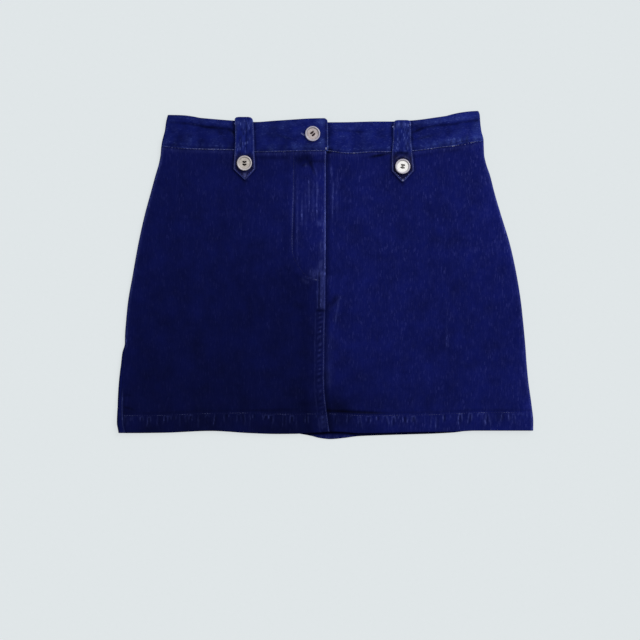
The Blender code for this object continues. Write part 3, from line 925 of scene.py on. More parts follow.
    def inside(self, x: Floats, y: Floats) -> Floats:
        """Distance from the nearer side fold."""
        near = np.minimum(x - self.edge(y, Side.LEFT), self.edge(y, Side.RIGHT) - x)
        return np.maximum(near, 0)

    def lift(self, x: Floats, y: Floats) -> Floats:
        """How far the springy side folds hold the front up: exp(-distance / reach)."""
        return self.side_loft * np.exp(-self.inside(x, y) / self.side_reach)

    def large_folds(self, x: Floats, y: Floats) -> Floats:
        """Height of the large soft folds."""
        return bumps(self.folds, x, y, 2)[0]

    def climb(self, x: Floats, y: Floats, side: Side) -> Floats:
        """How far a front climbs to the thicker waistband: exp(-(distance / reach) ** 1.5).

        Args:
            x: Places across.
            y: Places along.
            side: Which front it is; at the centre the left one climbs another ply more.

        Returns:
            The height that it gains.
        """
        below = np.maximum(self.seam(x, side) - y, 0)
        extra = (self.band - self.cloth) * self.lapped(x, y) if side is Side.LEFT else 0
        return (self.waist_rise + extra) * np.exp(-((below / self.waist_reach) ** 1.5))

    def calm(self, x: Floats, y: Floats) -> Floats:
        """How free the cloth is to lie unevenly.

        It is 1 less the greater of two holds, a bell round each tab and a rise to the waist
        seam, and it rises from 0 over 30 mm from a side fold.

        Args:
            x: Places across.
            y: Places along.

        Returns:
            0 where the cloth is held to 1 where it lies free.
        """
        tabs = np.clip(sum(bell(x - place, 26) for place in self.tab_places), 0, 1)
        held = tabs * smooth_step(95, 120, y)
        free = 1 - np.maximum(held, smooth_step(120, 150, y))
        return free * smooth_step(0, 30, self.inside(x, y))

    def front_under(self, x: Floats, y: Floats, side: Side) -> Floats:
        """Underside of a front panel: the sum of all that lies or lifts under it.

        Args:
            x: Places across.
            y: Places along.
            side: Which front it is; the left one also lies over the right one at the centre.

        Returns:
            Its height at each place.
        """
        base = self.cloth + self.over_hem(x, y) + self.gap + self.panel_loft
        base = base + self.lift(x, y) + self.large_folds(x, y) + self.climb(x, y, side)
        base = base + self.drape(x, y) * self.calm(x, y)
        if side is Side.LEFT:
            base = base + (self.cloth + self.over_hem(x, y) + self.lap_gap) * self.lapped(x, y)
        return base

    def band_under(self, x: Floats, y: Floats, side: Side) -> Floats:
        """Underside of the front waistband, on the back's and, at the left end, the right's.

        Args:
            x: Places across.
            y: Places along.
            side: Which half it is.

        Returns:
            Its height at each place.
        """
        base = self.band + self.gap + self.lift(x, y)
        if side is Side.LEFT:
            base = base + (self.band + self.lap_gap) * self.lapped(x, y)
        return base


class Layer(Enum):
    """Which of the two flat tubes of the skirt."""

    PANELS = "panels"
    BAND = "band"


@dataclass(frozen=True)
class Wrapped:
    """Places on a pressed tube, columns by rows.

    Attributes:
        outer: Points of the wall's outer face.
        inner: Points of its inner face.
        along: The cloth's own coordinates.
        flat: 1 on the flat wall, 0 round the fold.
    """

    outer: Floats
    inner: Floats
    along: Floats
    flat: Floats

    def then_back(self, other: "Wrapped") -> "Wrapped":
        """These places, then another's from its last but one column back to its first."""
        pairs = zip(vars(self).values(), vars(other).values())
        return Wrapped(*(np.concatenate([one, two[-2::-1]]) for one, two in pairs))


@dataclass(frozen=True)
class PressedTube:
    """The skirt's panels or its waistband as a tube pressed flat."""

    pattern: Pattern
    layer: Layer

    def height(self, share: Floats, x: Floats, table: Table, behind: bool) -> Floats:
        """y at a share of the way down the panels, or up the waistband.

        It is the start plus the share times the way from start to end. At the centre the top
        corner of the waistband's left end is rounded: it drops by r - sqrt(r * r - d * d).

        Args:
            share: Share of the way.
            x: Places across.
            table: The seam's and the top's table for this face.
            behind: True for the back.

        Returns:
            y at each place.
        """
        low = Curve(table, 1)(x)
        if self.layer is Layer.PANELS:
            top = low - self.pattern.gap
            return top + share * (self.pattern.hem_edge(x, behind) - top)
        high = Curve(table, 2)(x)
        if table is self.pattern.waist_left and not behind:
            radius = self.pattern.corner_radius
            past = np.clip(x - (self.pattern.lap_edge(180) - 0.5 - radius), 0, radius * 0.97)
            high = high - (radius - np.sqrt(radius**2 - past**2))
        return low + share * (high - low)

    def front_y(self, share: Floats, x: Floats, side: Side) -> Floats:
        """y of the front at a share of the way."""
        waists = {Side.LEFT: self.pattern.waist_left, Side.RIGHT: self.pattern.waist_right}
        return self.height(share, x, waists[side], False)

    def under(self, x: Floats, y: Floats, side: Side) -> Floats:
        """Underside of the front."""
        panels = self.layer is Layer.PANELS
        return (self.pattern.front_under if panels else self.pattern.band_under)(x, y, side)

    def wall(self, x: Floats, y: Floats, behind: bool) -> Floats:
        """Thickness of the wall."""
        band = np.full(np.broadcast(x, y).shape, self.pattern.band)
        return self.pattern.wall(x, y, behind) if self.layer is Layer.PANELS else band

    def fold(self, share: Floats, side: Side) -> tuple[Floats, Floats, Floats, Floats]:
        """Where a row's side fold is.

        Args:
            share: Share of the way, one for each row.
            side: Which fold.

        Returns:
            y of the fold, x of its outermost point, its radius and its wall.
        """
        y = self.front_y(share, self.pattern.edge(np.zeros_like(share), side), side)
        edge = self.pattern.edge(y, side)
        wall = self.wall(edge, y, False)
        return y, edge, (self.under(edge, y, side) + wall) / 2, wall

    def roll_to(self, share: Floats, x: Floats, side: Side) -> Floats:
        """Length from the fold's outermost point round it and along the wall to a place across.

        It is a quarter turn of the wall's middle line plus the flat distance.

        Args:
            share: Share of the way, one for each row.
            x: The place that each row is to reach.
            side: The fold that it is measured from.

        Returns:
            The length for each row.
        """
        _, edge, radius, wall = self.fold(share, side)
        return (radius - wall / 2) * math.pi / 2 + side.value * (x - edge) - radius

    def wrap(self, share: Floats, roll: Floats, side: Side) -> Wrapped:
        """Places at lengths round a side fold, on to the front when positive.

        The fold is half a ring, as high as back and front together: at an angle a it is at
        edge + radius * (1 - cos(a)) across and radius * (1 + sin(a)) up. Beyond a quarter turn
        on either side the wall runs on flat, on the front's underside or on the surface. y
        eases from the fold's to the flat wall's own over the first 40 mm.

        Args:
            share: Share of the way, one for each row.
            roll: Length round the fold, columns by rows.
            side: Which fold.

        Returns:
            The places, columns by rows.
        """
        y_fold, edge, radius, wall = self.fold(share, side)
        inward = side.value
        middle = radius - wall / 2
        spare = np.abs(roll) - middle * math.pi / 2
        flat = spare > 0
        angle = np.clip(roll / middle, -math.pi / 2, math.pi / 2)
        slim = radius - wall
        x_flat = edge + inward * (radius + spare)
        x_outer = np.where(flat, x_flat, edge + inward * radius * (1 - np.cos(angle)))
        x_inner = np.where(flat, x_flat, edge + inward * (radius - slim * np.cos(angle)))
        on_front = roll > 0
        y_back = self.height(share, x_outer, self.pattern.waist_back, True)
        y_flat = np.where(on_front, self.front_y(share, x_outer, side), y_back)
        ease = np.minimum(np.abs(roll) / self.pattern.fold_ease, 1)
        y = y_fold + (y_flat - y_fold) * ease
        low = self.under(x_outer, y, side)
        z_outer = np.where(on_front, low + self.wall(x_outer, y, False), 0)
        z_inner = np.where(on_front, low, self.wall(x_outer, y, True))
        z_outer = np.where(flat, z_outer, radius * (1 + np.sin(angle)))
        z_inner = np.where(flat, z_inner, radius + slim * np.sin(angle))
        return Wrapped(
            outer=np.stack([x_outer, y, z_outer], axis=-1),
            inner=np.stack([x_inner, y, z_inner], axis=-1),
            along=np.stack([x_flat, y], axis=-1),
            flat=smooth_step(0, 5, spare),
        )


# Stitches


@dataclass(frozen=True)
class Stitch:
    """One lockstitch: a short arched length of thread that dives into the cloth at both ends."""

    pitch: float = 3.3
    # Share of the pitch that shows, how much that varies, and the share before the first one
    share: float = 0.74
    uneven: float = 0.05
    lead: float = 0.13
    radius: float = 0.26
    # How high its middle rises, how deep it lies in the cloth, and how far its ends stray
    rise: float = 0.2
    sunk: float = 0.1
    wander: float = 0.1
    # Distance between a bartack's stitches, over their radius
    close: float = 1.7
    rings: int = 5
    sides: int = 5

    def mesh(self, name: str, starts: Floats, ends: Floats, up: Floats) -> bpy.types.Mesh:
        """Makes all stitches as one mesh.

        The middle line runs from start to end and rises by the sine of the share along it. A
        ring round it is radius * sqrt(sin) wide, so that both ends taper into the cloth.

        Args:
            name: Name of the mesh.
            starts: Where each stitch starts.
            ends: Where each stitch ends.
            up: 1 or -1, as each stitch faces up or down.

        Returns:
            The mesh, in the frame's place.
        """
        t = np.linspace(0, 1, self.rings)[None, :, None]
        ahead = ends - starts
        ups = np.stack([0 * up, 0 * up, up], axis=-1)
        arch = self.rise * np.sin(math.pi * t) - self.sunk
        line = starts[:, None] + ahead[:, None] * t + ups[:, None] * arch
        across = unit(np.cross(ahead, ups))
        thick = self.radius * np.sqrt(np.sin(math.pi * (0.06 + 0.88 * t)))[..., None]
        turn = 2 * math.pi * np.arange(self.sides)[None, None, :, None] / self.sides
        ring = across[:, None, None] * np.cos(turn) + ups[:, None, None] * np.sin(turn)
        points = (line[:, :, None] + ring * thick).reshape(-1, 3)
        index = np.arange(len(points)).reshape(len(starts), self.rings, self.sides)
        quads, caps = ring_faces(index), [index[:, 0, ::-1], index[:, -1]]
        if enclosed(points, quads) < 0:
            quads, caps = quads[:, ::-1], [cap[:, ::-1] for cap in caps]
        made = bpy.data.meshes.new(name)
        faces = quads.tolist() + np.concatenate(caps).tolist()
        made.from_pydata(in_frame(points).tolist(), [], faces)
        return made


class Stitching:
    """All the stitches sewn on one piece, joined as one mesh."""

    def __init__(self, name: str, stitch: Stitch) -> None:
        """Starts a piece of this name without any stitches, all of which will be of one size."""
        self.name, self.stitch = name, stitch
        self.parts: list[tuple[Floats, Floats, Floats, Floats]] = []

    def add(self, starts: Floats, ends: Floats, pale: Values, up: float = 1.0) -> None:
        """Adds stitches by their ends, with how pale each is and which way they face."""
        one = np.ones(len(starts))
        self.parts.append((starts, ends, one * pale, one * up))

    def sew(self, x: Values, y: Values, z: Values, pale: Values = 0.3, up: float = 1.0) -> None:
        """Adds a row of stitches at even steps along a path on the cloth, each a little askew.

        Args:
            x: The path's places across.
            y: Its places along.
            z: The cloth's surface there.
            pale: How far the thread's dye is rubbed off, there or everywhere.
            up: 1 on a face that looks up, -1 on one that looks down.
        """
        path = np.stack(np.broadcast_arrays(x, y, z, pale), axis=-1)
        length = lengths(path[:, :3])
        count = max(1, int(length[-1] / self.stitch.pitch))
        draw = np.random.default_rng(100 * len(self.parts) + len(self.name))
        pitch = length[-1] / count
        first = (np.arange(count) + self.stitch.lead) * pitch
        last = first + pitch * (self.stitch.share + draw.normal(0, self.stitch.uneven, count))
        ends = [
            np.stack([np.interp(at, length, path[:, k]) for k in range(4)], axis=-1)
            for at in (first, last)
        ]
        for place in ends:
            place[:, :2] += draw.normal(0, self.stitch.wander, (count, 2))
        rubbed = ends[0][:, 3] * draw.uniform(0.5, 1.5, count)
        self.add(ends[0][:, :3], ends[1][:, :3], rubbed, up)

    def tack(self, middle: Floats, way: tuple[float, float], count: int, pale: float) -> None:
        """Adds a bartack: close stitches side by side.

        Args:
            middle: Its middle on the cloth's surface.
            way: x and y of one stitch from end to end.
            count: How many stitches lie beside each other.
            pale: How far the thread's dye is rubbed off.
        """
        ahead = np.array([*way, 0])
        beside = np.array([-way[1], way[0], 0]) / np.hypot(*way)
        row = (np.arange(count) - (count - 1) / 2)[:, None]
        middles = middle + beside * row * self.stitch.close * self.stitch.radius
        self.add(middles - ahead / 2, middles + ahead / 2, pale)

    def build(self, finish: Material) -> Piece:
        """Makes the piece, with the pale value of each stitch at its points.

        Args:
            finish: The thread's material.

        Returns:
            The object.
        """
        starts, ends, pale, up = (np.concatenate(part) for part in zip(*self.parts))
        mesh = self.stitch.mesh(self.name, starts, ends, up)
        mark_points(mesh, {"pale": np.repeat(pale, self.stitch.rings * self.stitch.sides)})
        return place_piece(self.name, mesh, finish)


# Panels


def cloth_marks(look: Floats, washed_and_painted_light: Floats, soil: Values = 0) -> Marks:
    """The values that the denim's material reads.

    Args:
        look: Height, wear and shade; wear counts for more on paler cloth.
        washed_and_painted_light: How far the dye has washed out, together with painted light: cloth
            painted lighter where more light falls and darker where less does.
        soil: How far the cloth is soiled.

    Returns:
        Each value by its attribute's name.
    """
    wear = np.clip(look[1] * (0.2 + 0.9 * washed_and_painted_light), 0, 1)
    return {"wear": wear, "shade": np.clip(look[2], 0, 1), "wash": washed_and_painted_light, "soil": soil + 0 * washed_and_painted_light}


def hem_marks(seed: int, low: float, high: float, pattern: Pattern, rubbed: Table) -> Table:
    """Rubbed puckers between the hem's stitches and its fold.

    They stand at uneven steps of 3.5 to 13 mm, lean a little and have a hollow beside them. Some
    are pairs, joined by a short rubbed dash at the stitch above.

    Args:
        seed: Seed for their steps and sizes.
        low: x of the first.
        high: x of the last.
        pattern: The skirt's pattern.
        rubbed: x, half width and gain of each stretch where they are rubbed more.

    Returns:
        Rows for creases.
    """
    draw = np.random.default_rng(seed)
    places = low + np.cumsum(draw.uniform(3.5, 13, int((high - low) / 6)))
    rows = []
    for x in places[places < high].tolist():
        tall, lean, rub = draw.uniform(1.6, 7.5), draw.normal(90, 4), draw.uniform(0.1, 0.75)
        rub *= 1 + sum(gain * math.exp(-(((x - place) / wide) ** 2)) for place, wide, gain in rubbed)
        y = float(pattern.hem_row(np.array(x))) - 1.2 - tall * draw.uniform(0.9, 1.25)
        rows.append((x, y, tall, draw.uniform(0.5, 0.8), lean, 0.18, rub, 0))
        side = draw.choice([-1, 1]) * draw.uniform(1.5, 2.6)
        rows.append((x + side, y, tall, draw.uniform(0.8, 1.8), lean, -0.2, 0, 0.45 * rub))
        if draw.uniform() < 0.45:
            apart, short = 2.1 * side, tall * draw.uniform(0.5, 1)
            rows.append((x + apart, y + tall - short, short, 0.6, 90, 0.1, 0.8 * rub, 0))
            rows.append((x + apart / 2, y + tall, abs(apart) / 2, 0.6, 0, 0, 0.9 * rub, 0))
    return tuple(rows)


# Creases, ridges and rubbed streaks: x, y, half length, half width, degrees, height, wear, shade
FLY_MARKS: Table = (
    (-36.8, 68, 44, 0.8, 90, 0.12, 0.3, 0),
    (-31.1, 78.6, 19, 0.8, 90, 0.12, 0.36, 0),
    (-26.5, 84, 26, 1.2, 91, 0.1, 0.16, 0),
    (-22.2, 101, 19, 0.9, 90, 0.14, 0.4, 0),
    (-20.2, 101, 19, 0.9, 90, -0.1, 0, 0.2),
    (-17, 92, 22, 1.1, 89, 0.1, 0.18, 0),
    (-11.9, 109, 7, 1, 93, 0.2, 0.55, 0),
    (-12.2, 84, 18, 0.9, 90, 0.12, 0.26, 0),
    (-9.2, 65.2, 3.4, 2.4, 90, 0.15, 0.45, 0),
    (-7.7, 13.6, 5, 2.6, 80, 0.15, 0.55, 0),
    (-7.5, 34, 9, 1.4, 92, 0.1, 0.28, 0),
    (-13, 3, 9, 5, 10, 0, 0.34, 0),
    (-19.6, -4.4, 8, 0.9, 167, 0.1, 0.45, 0),
    (-27, -8, 6, 2, 150, 0, 0.22, 0),
    (-26, 137, 2, 1.6, 90, 0.1, 0.5, 0),
    (-30.6, 145.5, 8.5, 6.5, 20, -0.25, 0, 0.6),
    (-20.5, 143, 8, 5, 80, -0.1, 0, 0.5),
    (-64, 146.2, 24, 2.8, 0, -0.2, 0, 0.34),
    (-9.7, 141.7, 10, 2.2, 0, -0.2, 0, 0.38),
    (-18.3, 133.7, 8, 2, -72, -0.35, 0, 0.5),
    (-14.6, 130.5, 9, 1.1, -72, 0.25, 0.22, 0),
    (-28, 137, 4, 1.6, 200, -0.2, 0, 0.4),
    (-96, -30, 34, 3, 96, 0.15, 0, 0.1),
    (-36, -38, 7, 4.5, 160, -0.1, 0, 0.28),
    (-12, -22, 2, 1.6, 90, 0, 0.3, 0),
    (-3, 44, 40, 3, 90, 0, 0.14, 0),
    (-62, -168.6, 30, 1.6, 1, -0.25, 0, 0.3),
    (-246.6, -167, 8, 1.5, -18, -0.25, 0, 0.55),
    (-249, -150.5, 5, 1.1, -5, -0.2, 0, 0.34),
    (-24, -161, 20, 4, 4, -0.2, 0, 0.3),
    (-5.2, -184, 8, 4, 96, 0.1, 0.3, 0),
)
RIGHT_MARKS: Table = (
    (68.5, 150.2, 12, 2, 9, -0.4, 0, 0.62),
    (7.3, 90, 21, 0.9, 90, 0.14, 0.4, 0),
    (5.9, 128.6, 8, 0.9, 90, 0.12, 0.34, 0),
    (8.1, 108, 7, 0.9, 90, 0.12, 0.34, 0),
    (12.5, 96, 24, 1.3, 90, 0.1, 0.14, 0),
    (8, -33.5, 9, 4.4, 50, -0.4, 0, 0.55),
    (12.8, -46, 15, 1.3, 80, 0.1, 0.3, 0),
    (3, -104, 32, 4.5, 90, 0.05, 0.1, 0),
    (2, -128, 14, 3, 90, 0.05, 0.14, 0),
    (12.4, -33.8, 9, 1.8, 50, 0.3, 0.12, 0),
    (20, -48, 14, 5, 62, -0.2, 0, 0.2),
    (33, -171, 38, 2.3, -3, -0.5, 0, 0.75),
    (14, -163, 14, 6.5, 170, -0.3, 0, 0.3),
    (38, -158, 26, 4.5, 176, -0.2, 0, 0.14),
    (50, -172.6, 18, 0.8, 178, 0.1, 0.3, 0),
    (61.6, 148.2, 11, 1.6, 8, -0.3, 0, 0.5),
    (120, 149.5, 12, 2.2, 10, -0.2, 0, 0.22),
    (150, -72, 22, 1.2, 90, 0.05, 0.12, 0),
    (152, 155, 14, 2.4, 8, -0.2, 0, 0.24),
    (3.6, 153, 3.2, 1.5, 0, -0.2, 0, 0.6),
)
BAND_MARKS: Table = (
    (-184, 189.6, 15, 1.7, -4, -0.4, 0, 0.36),
    (-160, 186.6, 14, 2, -11, -0.45, 0, 0.58),
    (-136, 183.6, 14, 2.2, -5, -0.45, 0, 0.62),
    (-119, 180, 6, 2, -38, -0.3, 0, 0.45),
    (-135, 180, 26, 4.5, -10, -0.2, 0, 0.26),
    (-190, 180, 9, 8, 90, -0.1, 0, 0.16),
    (-150, 192, 40, 2.6, -8, 0.35, 0.14, 0),
    (-52, 171.4, 11, 1.7, -16, -0.3, 0, 0.32),
    (-70, 176, 12, 3, -10, 0.2, 0.06, 0),
    (-31, 181, 10, 3, 12, 0.2, 0.08, 0),
    (-55, 187, 24, 3.5, 8, 0.15, 0.12, 0),
    (-7.5, 191.5, 5.5, 3, -5, 0.1, 0.34, 0),
    (-6.5, 166, 5, 3.2, 80, 0.1, 0.36, 0),
    (-25, 161, 9, 2.2, 0, 0.1, 0.2, 0),
    (-40, 160, 4, 2.2, 0, 0.1, 0.2, 0),
    (30, 179.5, 21, 1.6, -3, -0.3, 0, 0.34),
    (24, 185, 18, 3, -2, 0.2, 0.08, 0),
    (114.5, 181, 9, 1.8, 21, -0.5, 0, 0.66),
    (132, 185.6, 11, 1.7, 9, -0.5, 0, 0.56),
    (153, 187.6, 12, 1.9, 5, -0.5, 0, 0.62),
    (176, 191.6, 15, 1.6, 8, -0.5, 0, 0.48),
    (150, 193.6, 42, 3, 7, 0.45, 0.18, 0),
    (122.6, 172, 14, 1.7, 14, -0.3, 0, 0.4),
    (111, 186, 4, 4.5, 90, -0.1, 0, 0.3),
    (150, 166.5, 26, 3, 8, 0.2, 0.12, 0),
    (186, 181, 12, 4.5, 95, 0.1, 0.2, 0),
    (187.5, 192.2, 3, 1.6, 10, -0.2, 0, 0.4),
    (155.4, 166, 3.6, 1.1, 78, -0.2, 0, 0.4),
    (161.6, 166.6, 3.2, 1, 96, -0.2, 0, 0.36),
    (168.6, 167.8, 3.6, 1.1, 84, -0.2, 0, 0.36),
    (175, 169, 3.2, 1, 92, -0.2, 0, 0.3),
    (4.2, 155.8, 3.4, 1.4, -10, -0.2, 0, 0.6),
)
# Shallow hollows in the back's underside
BACK_HOLLOWS: Table = (
    (-120, 40, 70, 5, 84, 0.35, 0, 0),
    (60, -20, 90, 6, 97, 0.4, 0, 0),
    (150, 90, 50, 4, 70, 0.35, 0, 0),
    (-30, -110, 60, 5, 12, 0.35, 0, 0),
    (-170, -120, 40, 5, 60, 0.3, 0, 0),
    (20, 120, 60, 4, 4, 0.3, 0, 0),
)


@dataclass(frozen=True)
class Panels:
    """The two fronts and the back: cut denim sewn at the sides, hemmed and lapped in front."""

    pattern: Pattern
    shadows: "tuple[Tab, ...]" = ()
    column: float = 1.25
    back_column: float = 3.0
    # Length of each front and of half the back between the close columns at their ends
    left_span: float = 179.0
    right_span: float = 204.0
    back_span: float = 230.0
    rim: float = 0.8
    groove: float = 0.3
    # Steps at which the centre seam and the fly's row pull the cloth
    pucker: float = 6.6
    pull: float = 6.5
    # x, half width and gain of each stretch of hem whose puckers are rubbed more
    left_rubbed: Table = ((-145, 14, 0.6), (-70, 50, 0.7))
    right_rubbed: Table = ((62, 8, 0.6), (112, 26, 0.7), (150, 12, 0.5))
    # From the waist seam, each stretch's length and the distance between its rows
    stretches: Table = ((40, 1.4), (100, 5), (65, 1.7), (113, 1.6), (34.2, 1.15))
    # The row that shapes the fly, from the waist seam to its end under the lap
    fly_row: Table = (
        (-41.2, 156), (-41.4, 128), (-41.9, 100), (-43, 62), (-43.6, 40), (-42.6, 27), (-39, 17),
        (-33.4, 8), (-27.5, 0.5), (-20, -4.4), (-10.9, -6.6),
    )

    def shares(self) -> Floats:
        """Rows of a panel, close together at the waist, along the lapped seam and at the hem.

        Returns:
            Shares of the way from the waist seam to the rim of the hem's fold.
        """
        rows, low = [0, 0.35], 0
        for length, step in self.stretches:
            rows += np.linspace(low, low + length, round(length / step) + 1)[1:].tolist()
            low += length
        end = self.pattern.length - self.rim
        rows = [row for row in rows if row < end - 0.8] + [end - 0.35, end]
        return np.array(rows) / self.pattern.length

    def wash(self, x: Floats, y: Floats, side: Side) -> Floats:
        """How far the dye has washed out of a front, together with painted light.

        Both rise evenly from hem to waist, a painted gradient of light, and stay dark in a bell
        beside the foot of the seam, which is painted shade; the right one is painted paler all over
        than the left. The left one also rises towards the fly as exp(-distance / 44 mm), where the
        dye is worn, and a little at the centre seam, the side fold, the rolled seam's foot and in a
        patch above the hem. The right one rises to its side fold but for its middle height, and a
        little in the hem.

        Args:
            x: Places across.
            y: Places along.
            side: Which front it is.

        Returns:
            0 to about 1 at each place.
        """
        up = (y + 165) / 265
        foot = np.exp(-(((x - 4) / 48) ** 2) - ((y + 172) / 44) ** 2)
        inside = np.maximum(side.value * (x - self.pattern.edge(y, side)), 0)
        if side is Side.RIGHT:
            fold = (0.25 * np.exp(-inside / 26) + 0.12) * (1 - 0.85 * bell(y + 50, 42))
            fold = fold * np.exp(-inside / 90) + 0.12 * np.exp(-inside / 5)
            high = smooth_step(100, 150, y)
            hem = 0.07 * (1 - smooth_step(-178, -170, y)) * smooth_step(50, 110, x)
            patch = hem - 0.035 * bell(x - 140, 55) * bell(y - 62, 50)
            return 0.56 + 0.19 * up - 0.42 * foot + fold * (1 - 0.2 * high) - 0.05 * high + patch
        worn = smooth_step(-14, 62, y) * (1 - 0.56 * smooth_step(102, 142, y))
        fly = 0.7 * np.exp(-np.maximum(-2 - x, 0) / 44) * worn
        seam = 0.16 * bell(x + 2, 18) * (1 - worn)
        fold = 0.06 * np.exp(-inside / 16) * (1 - smooth_step(20, 60, y))
        patch = 0.16 * bell(x + 243, 10) * bell(y + 184, 12)
        patch = patch + 0.045 * bell(x + 58, 45) * bell(y + 120, 60)
        return 0.09 + 0.32 * up + fly + seam + fold + patch - 0.07 * foot

    def row_groove(self, distance: Floats) -> Floats:
        """The furrow that a row of stitches pulls into the cloth."""
        return -self.groove * bell(distance, 1.3)

    def shared_look(self, x: Floats, y: Floats, side: Side) -> Floats:
        """What both fronts have.

        Bells of the distance give a furrow at the hem's stitches and shade above them, at the
        hem's fold, in the waist seam and beside the tabs, and rub the dye over the waist seam's
        allowance and at the side folds.

        Args:
            x: Places across.
            y: Places along.
            side: Which front it is.

        Returns:
            Height, wear and shade.
        """
        above = y - self.pattern.hem_edge(x)
        below = self.pattern.seam(x, side) - y
        row = y - self.pattern.hem_row(x)
        dark = 0.22 * bell(row - 3, 1.7) + 0.25 * bell(above, 1.2) + 0.28 * bell(below - 0.2, 1)
        dark = dark + sum(tab.shadow(x, y) for tab in self.shadows)
        folds, seam = (0.5, 0.15) if side is Side.LEFT else (0.24, 0.08)
        pale = folds * bell(self.pattern.inside(x, y) - 1, 1.9) + seam * bell(below - 2.4, 2)
        return looks(self.row_groove(row), pale, dark)

    def lap_strip(self, x: Floats, y: Floats) -> Floats:
        """The rubbed strip where the fly ends in the centre seam.

        The strip lies along the lap's edge between two heights, with a narrow furrow and a
        ridge beside it, each a bell of the distance from the edge, and is cut off square.

        Args:
            x: Places across.
            y: Places along.

        Returns:
            Height, wear and shade.
        """
        away = self.pattern.lap_edge(y) - x
        inside = smooth_step(-43, -42, y) * (1 - smooth_step(1, 6, y))
        strip = inside * (1 - smooth_step(6.2, 7.2, away))
        ridge, furrow = inside * bell(away - 9.6, 0.9), inside * bell(away - 7.9, 0.8)
        cut = bell(y + 44.6, 1.5) * (1 - smooth_step(10.5, 12, away))
        height = 0.3 * strip + 0.25 * ridge - 0.3 * furrow - 0.2 * cut
        return looks(height, 0.44 * strip + 0.46 * ridge, 0.55 * furrow + 0.6 * cut)

    def centre_seam(self, x: Floats, y: Floats) -> Floats:
        """The lapped seam below the fly.

        Between its edge and the ridge that its allowance presses through, it puckers as the
        cosine of the distance along it. Two slow waves make the step uneven, and a third one
        the strength, which is less towards the hem.

        Args:
            x: Places across.
            y: Places along.

        Returns:
            Height, wear and shade.
        """
        away = self.pattern.lap_edge(y) - x
        below = 1 - smooth_step(-50, -43, y)
        along = y + 0.35 * (away - 5) + 1.8 * np.sin(y / 9) + 0.8 * np.sin(y / 3.7)
        step = 0.5 + 0.5 * np.cos(2 * math.pi * along / self.pucker)
        pucker = bell(away - 5.8, 2.4) * below
        ridge = bell(away - 11.6, 0.8) * below
        strong = 0.6 + 0.4 * smooth_step(-150, -90, y)
        strong = strong * (0.8 + 0.35 * np.sin(y / 4.3 + 0.9 * away))
        wear = 0.5 * strong * pucker * step**2 + 0.2 * ridge
        shade = 0.46 * strong * pucker * (1 - step) ** 2 + 0.1 * bell(away - 10, 0.9) * below
        return looks(0.3 * pucker * (step - 0.5) + 0.14 * ridge, wear, shade)

    def left_look(self, x: Floats, y: Floats) -> Floats:
        """The left front's creases and puckers, with its fly, lap and rolled side seam.

        The fly's row is a furrow that deepens at even steps, with a pale and a dark line beside
        it. The lap's free edge and the foot of the side seam are rubbed. Each is a bell of the
        distance from its line.

        Args:
            x: Places across.
            y: Places along.

        Returns:
            Height, wear and shade.
        """
        away = self.pattern.lap_edge(y) - x
        total = creases(FLY_MARKS + hem_marks(3, -254, -4, self.pattern, self.left_rubbed), x, y)
        total += self.shared_look(x, y, Side.LEFT) + self.lap_strip(x, y) + self.centre_seam(x, y)
        distance, place = nearest(path_through(self.fly_row, 1.2), x, y)
        pull = 0.7 + 0.3 * np.cos(2 * math.pi * place / self.pull)
        beside = x - Curve(tuple((row_y, row_x) for row_x, row_y in self.fly_row))(y)
        clear = bell(y - 72, 52) * smooth_step(16, 34, y)
        total += looks(
            self.row_groove(distance) * pull + self.row_groove(away - 1) * 0.5,
            0.4 * bell(beside, 0.7) * clear,
            0.4 * bell(beside - 2.2, 1.1) * clear,
        )
        strong = 0.5 + 0.5 * bell(y - 56, 60) * smooth_step(-2, 4, y)
        total[1] += strong * bell(away - 0.5, 0.85)
        roll = x - self.pattern.edge(y, Side.LEFT) - Curve(self.pattern.rolled)(y)
        low = 1 - smooth_step(-158, -140, y)
        total += looks(0, 0.9 * bell(roll - 0.6, 0.8) * low, 0.26 * bell(roll - 2.8, 1.2) * low)
        return total

    def right_look(self, x: Floats, y: Floats) -> Floats:
        """The right front's creases and puckers, with two bells of shade beside the lap's edge.

        Args:
            x: Places across.
            y: Places along.

        Returns:
            Height, wear and shade.
        """
        rows = RIGHT_MARKS + hem_marks(8, 6, 254, self.pattern, self.right_rubbed)
        total = creases(rows, x, y) + self.shared_look(x, y, Side.RIGHT)
        past = x - self.pattern.lap_edge(y)
        total[2] += 0.42 * bell(past - 1.2, 1.4) + 0.34 * bell(past - 3.6, 2.2)
        total[0] *= smooth_step(-1, 0.5, past)
        return total

    def look(self, x: Floats, y: Floats, side: Side) -> Floats:
        """Height, wear and shade of a front."""
        return (self.left_look if side is Side.LEFT else self.right_look)(x, y)

    def rolls(self, tube: PressedTube, share: Floats, side: Side) -> Floats:
        """Where a front's columns are, as lengths round its side fold in every row.

        The left one starts where its side seam has rolled to and ends at the lap's edge. The
        right one starts at the fold and runs on under the lap. Both are finer at their ends.

        Args:
            tube: The panels' tube.
            share: Share of the way down of each row.
            side: Which front it is.

        Returns:
            The lengths, columns by rows.
        """
        near = steps_growing(0.4, 1.25, 16)
        y = tube.front_y(share, np.zeros_like(share), side)
        edge = self.pattern.lap_edge(y)
        if side is Side.LEFT:
            start = Curve(self.pattern.rolled)(tube.fold(share, side)[0]) + 0.15
            end = tube.roll_to(share, edge - 0.5, side)
            far = steps_growing(0.3, 1.3, 2.2) + tuple(np.arange(3.1, 62, 0.95))
            return between_rolls(start, end, near, int(self.left_span / self.column), far[::-1])
        end = tube.roll_to(share, edge, side)
        hidden = tube.roll_to(share, self.pattern.hidden_edge(y) + 0.4, side)
        far = tuple(np.arange(0, 30, 1))
        start = 0.15 + 0 * share
        shown = between_rolls(start, end, near, int(self.right_span / self.column), far[::-1])
        return np.concatenate([shown, end + np.linspace(0, 1, 9)[1:, None] * (hidden - end)])

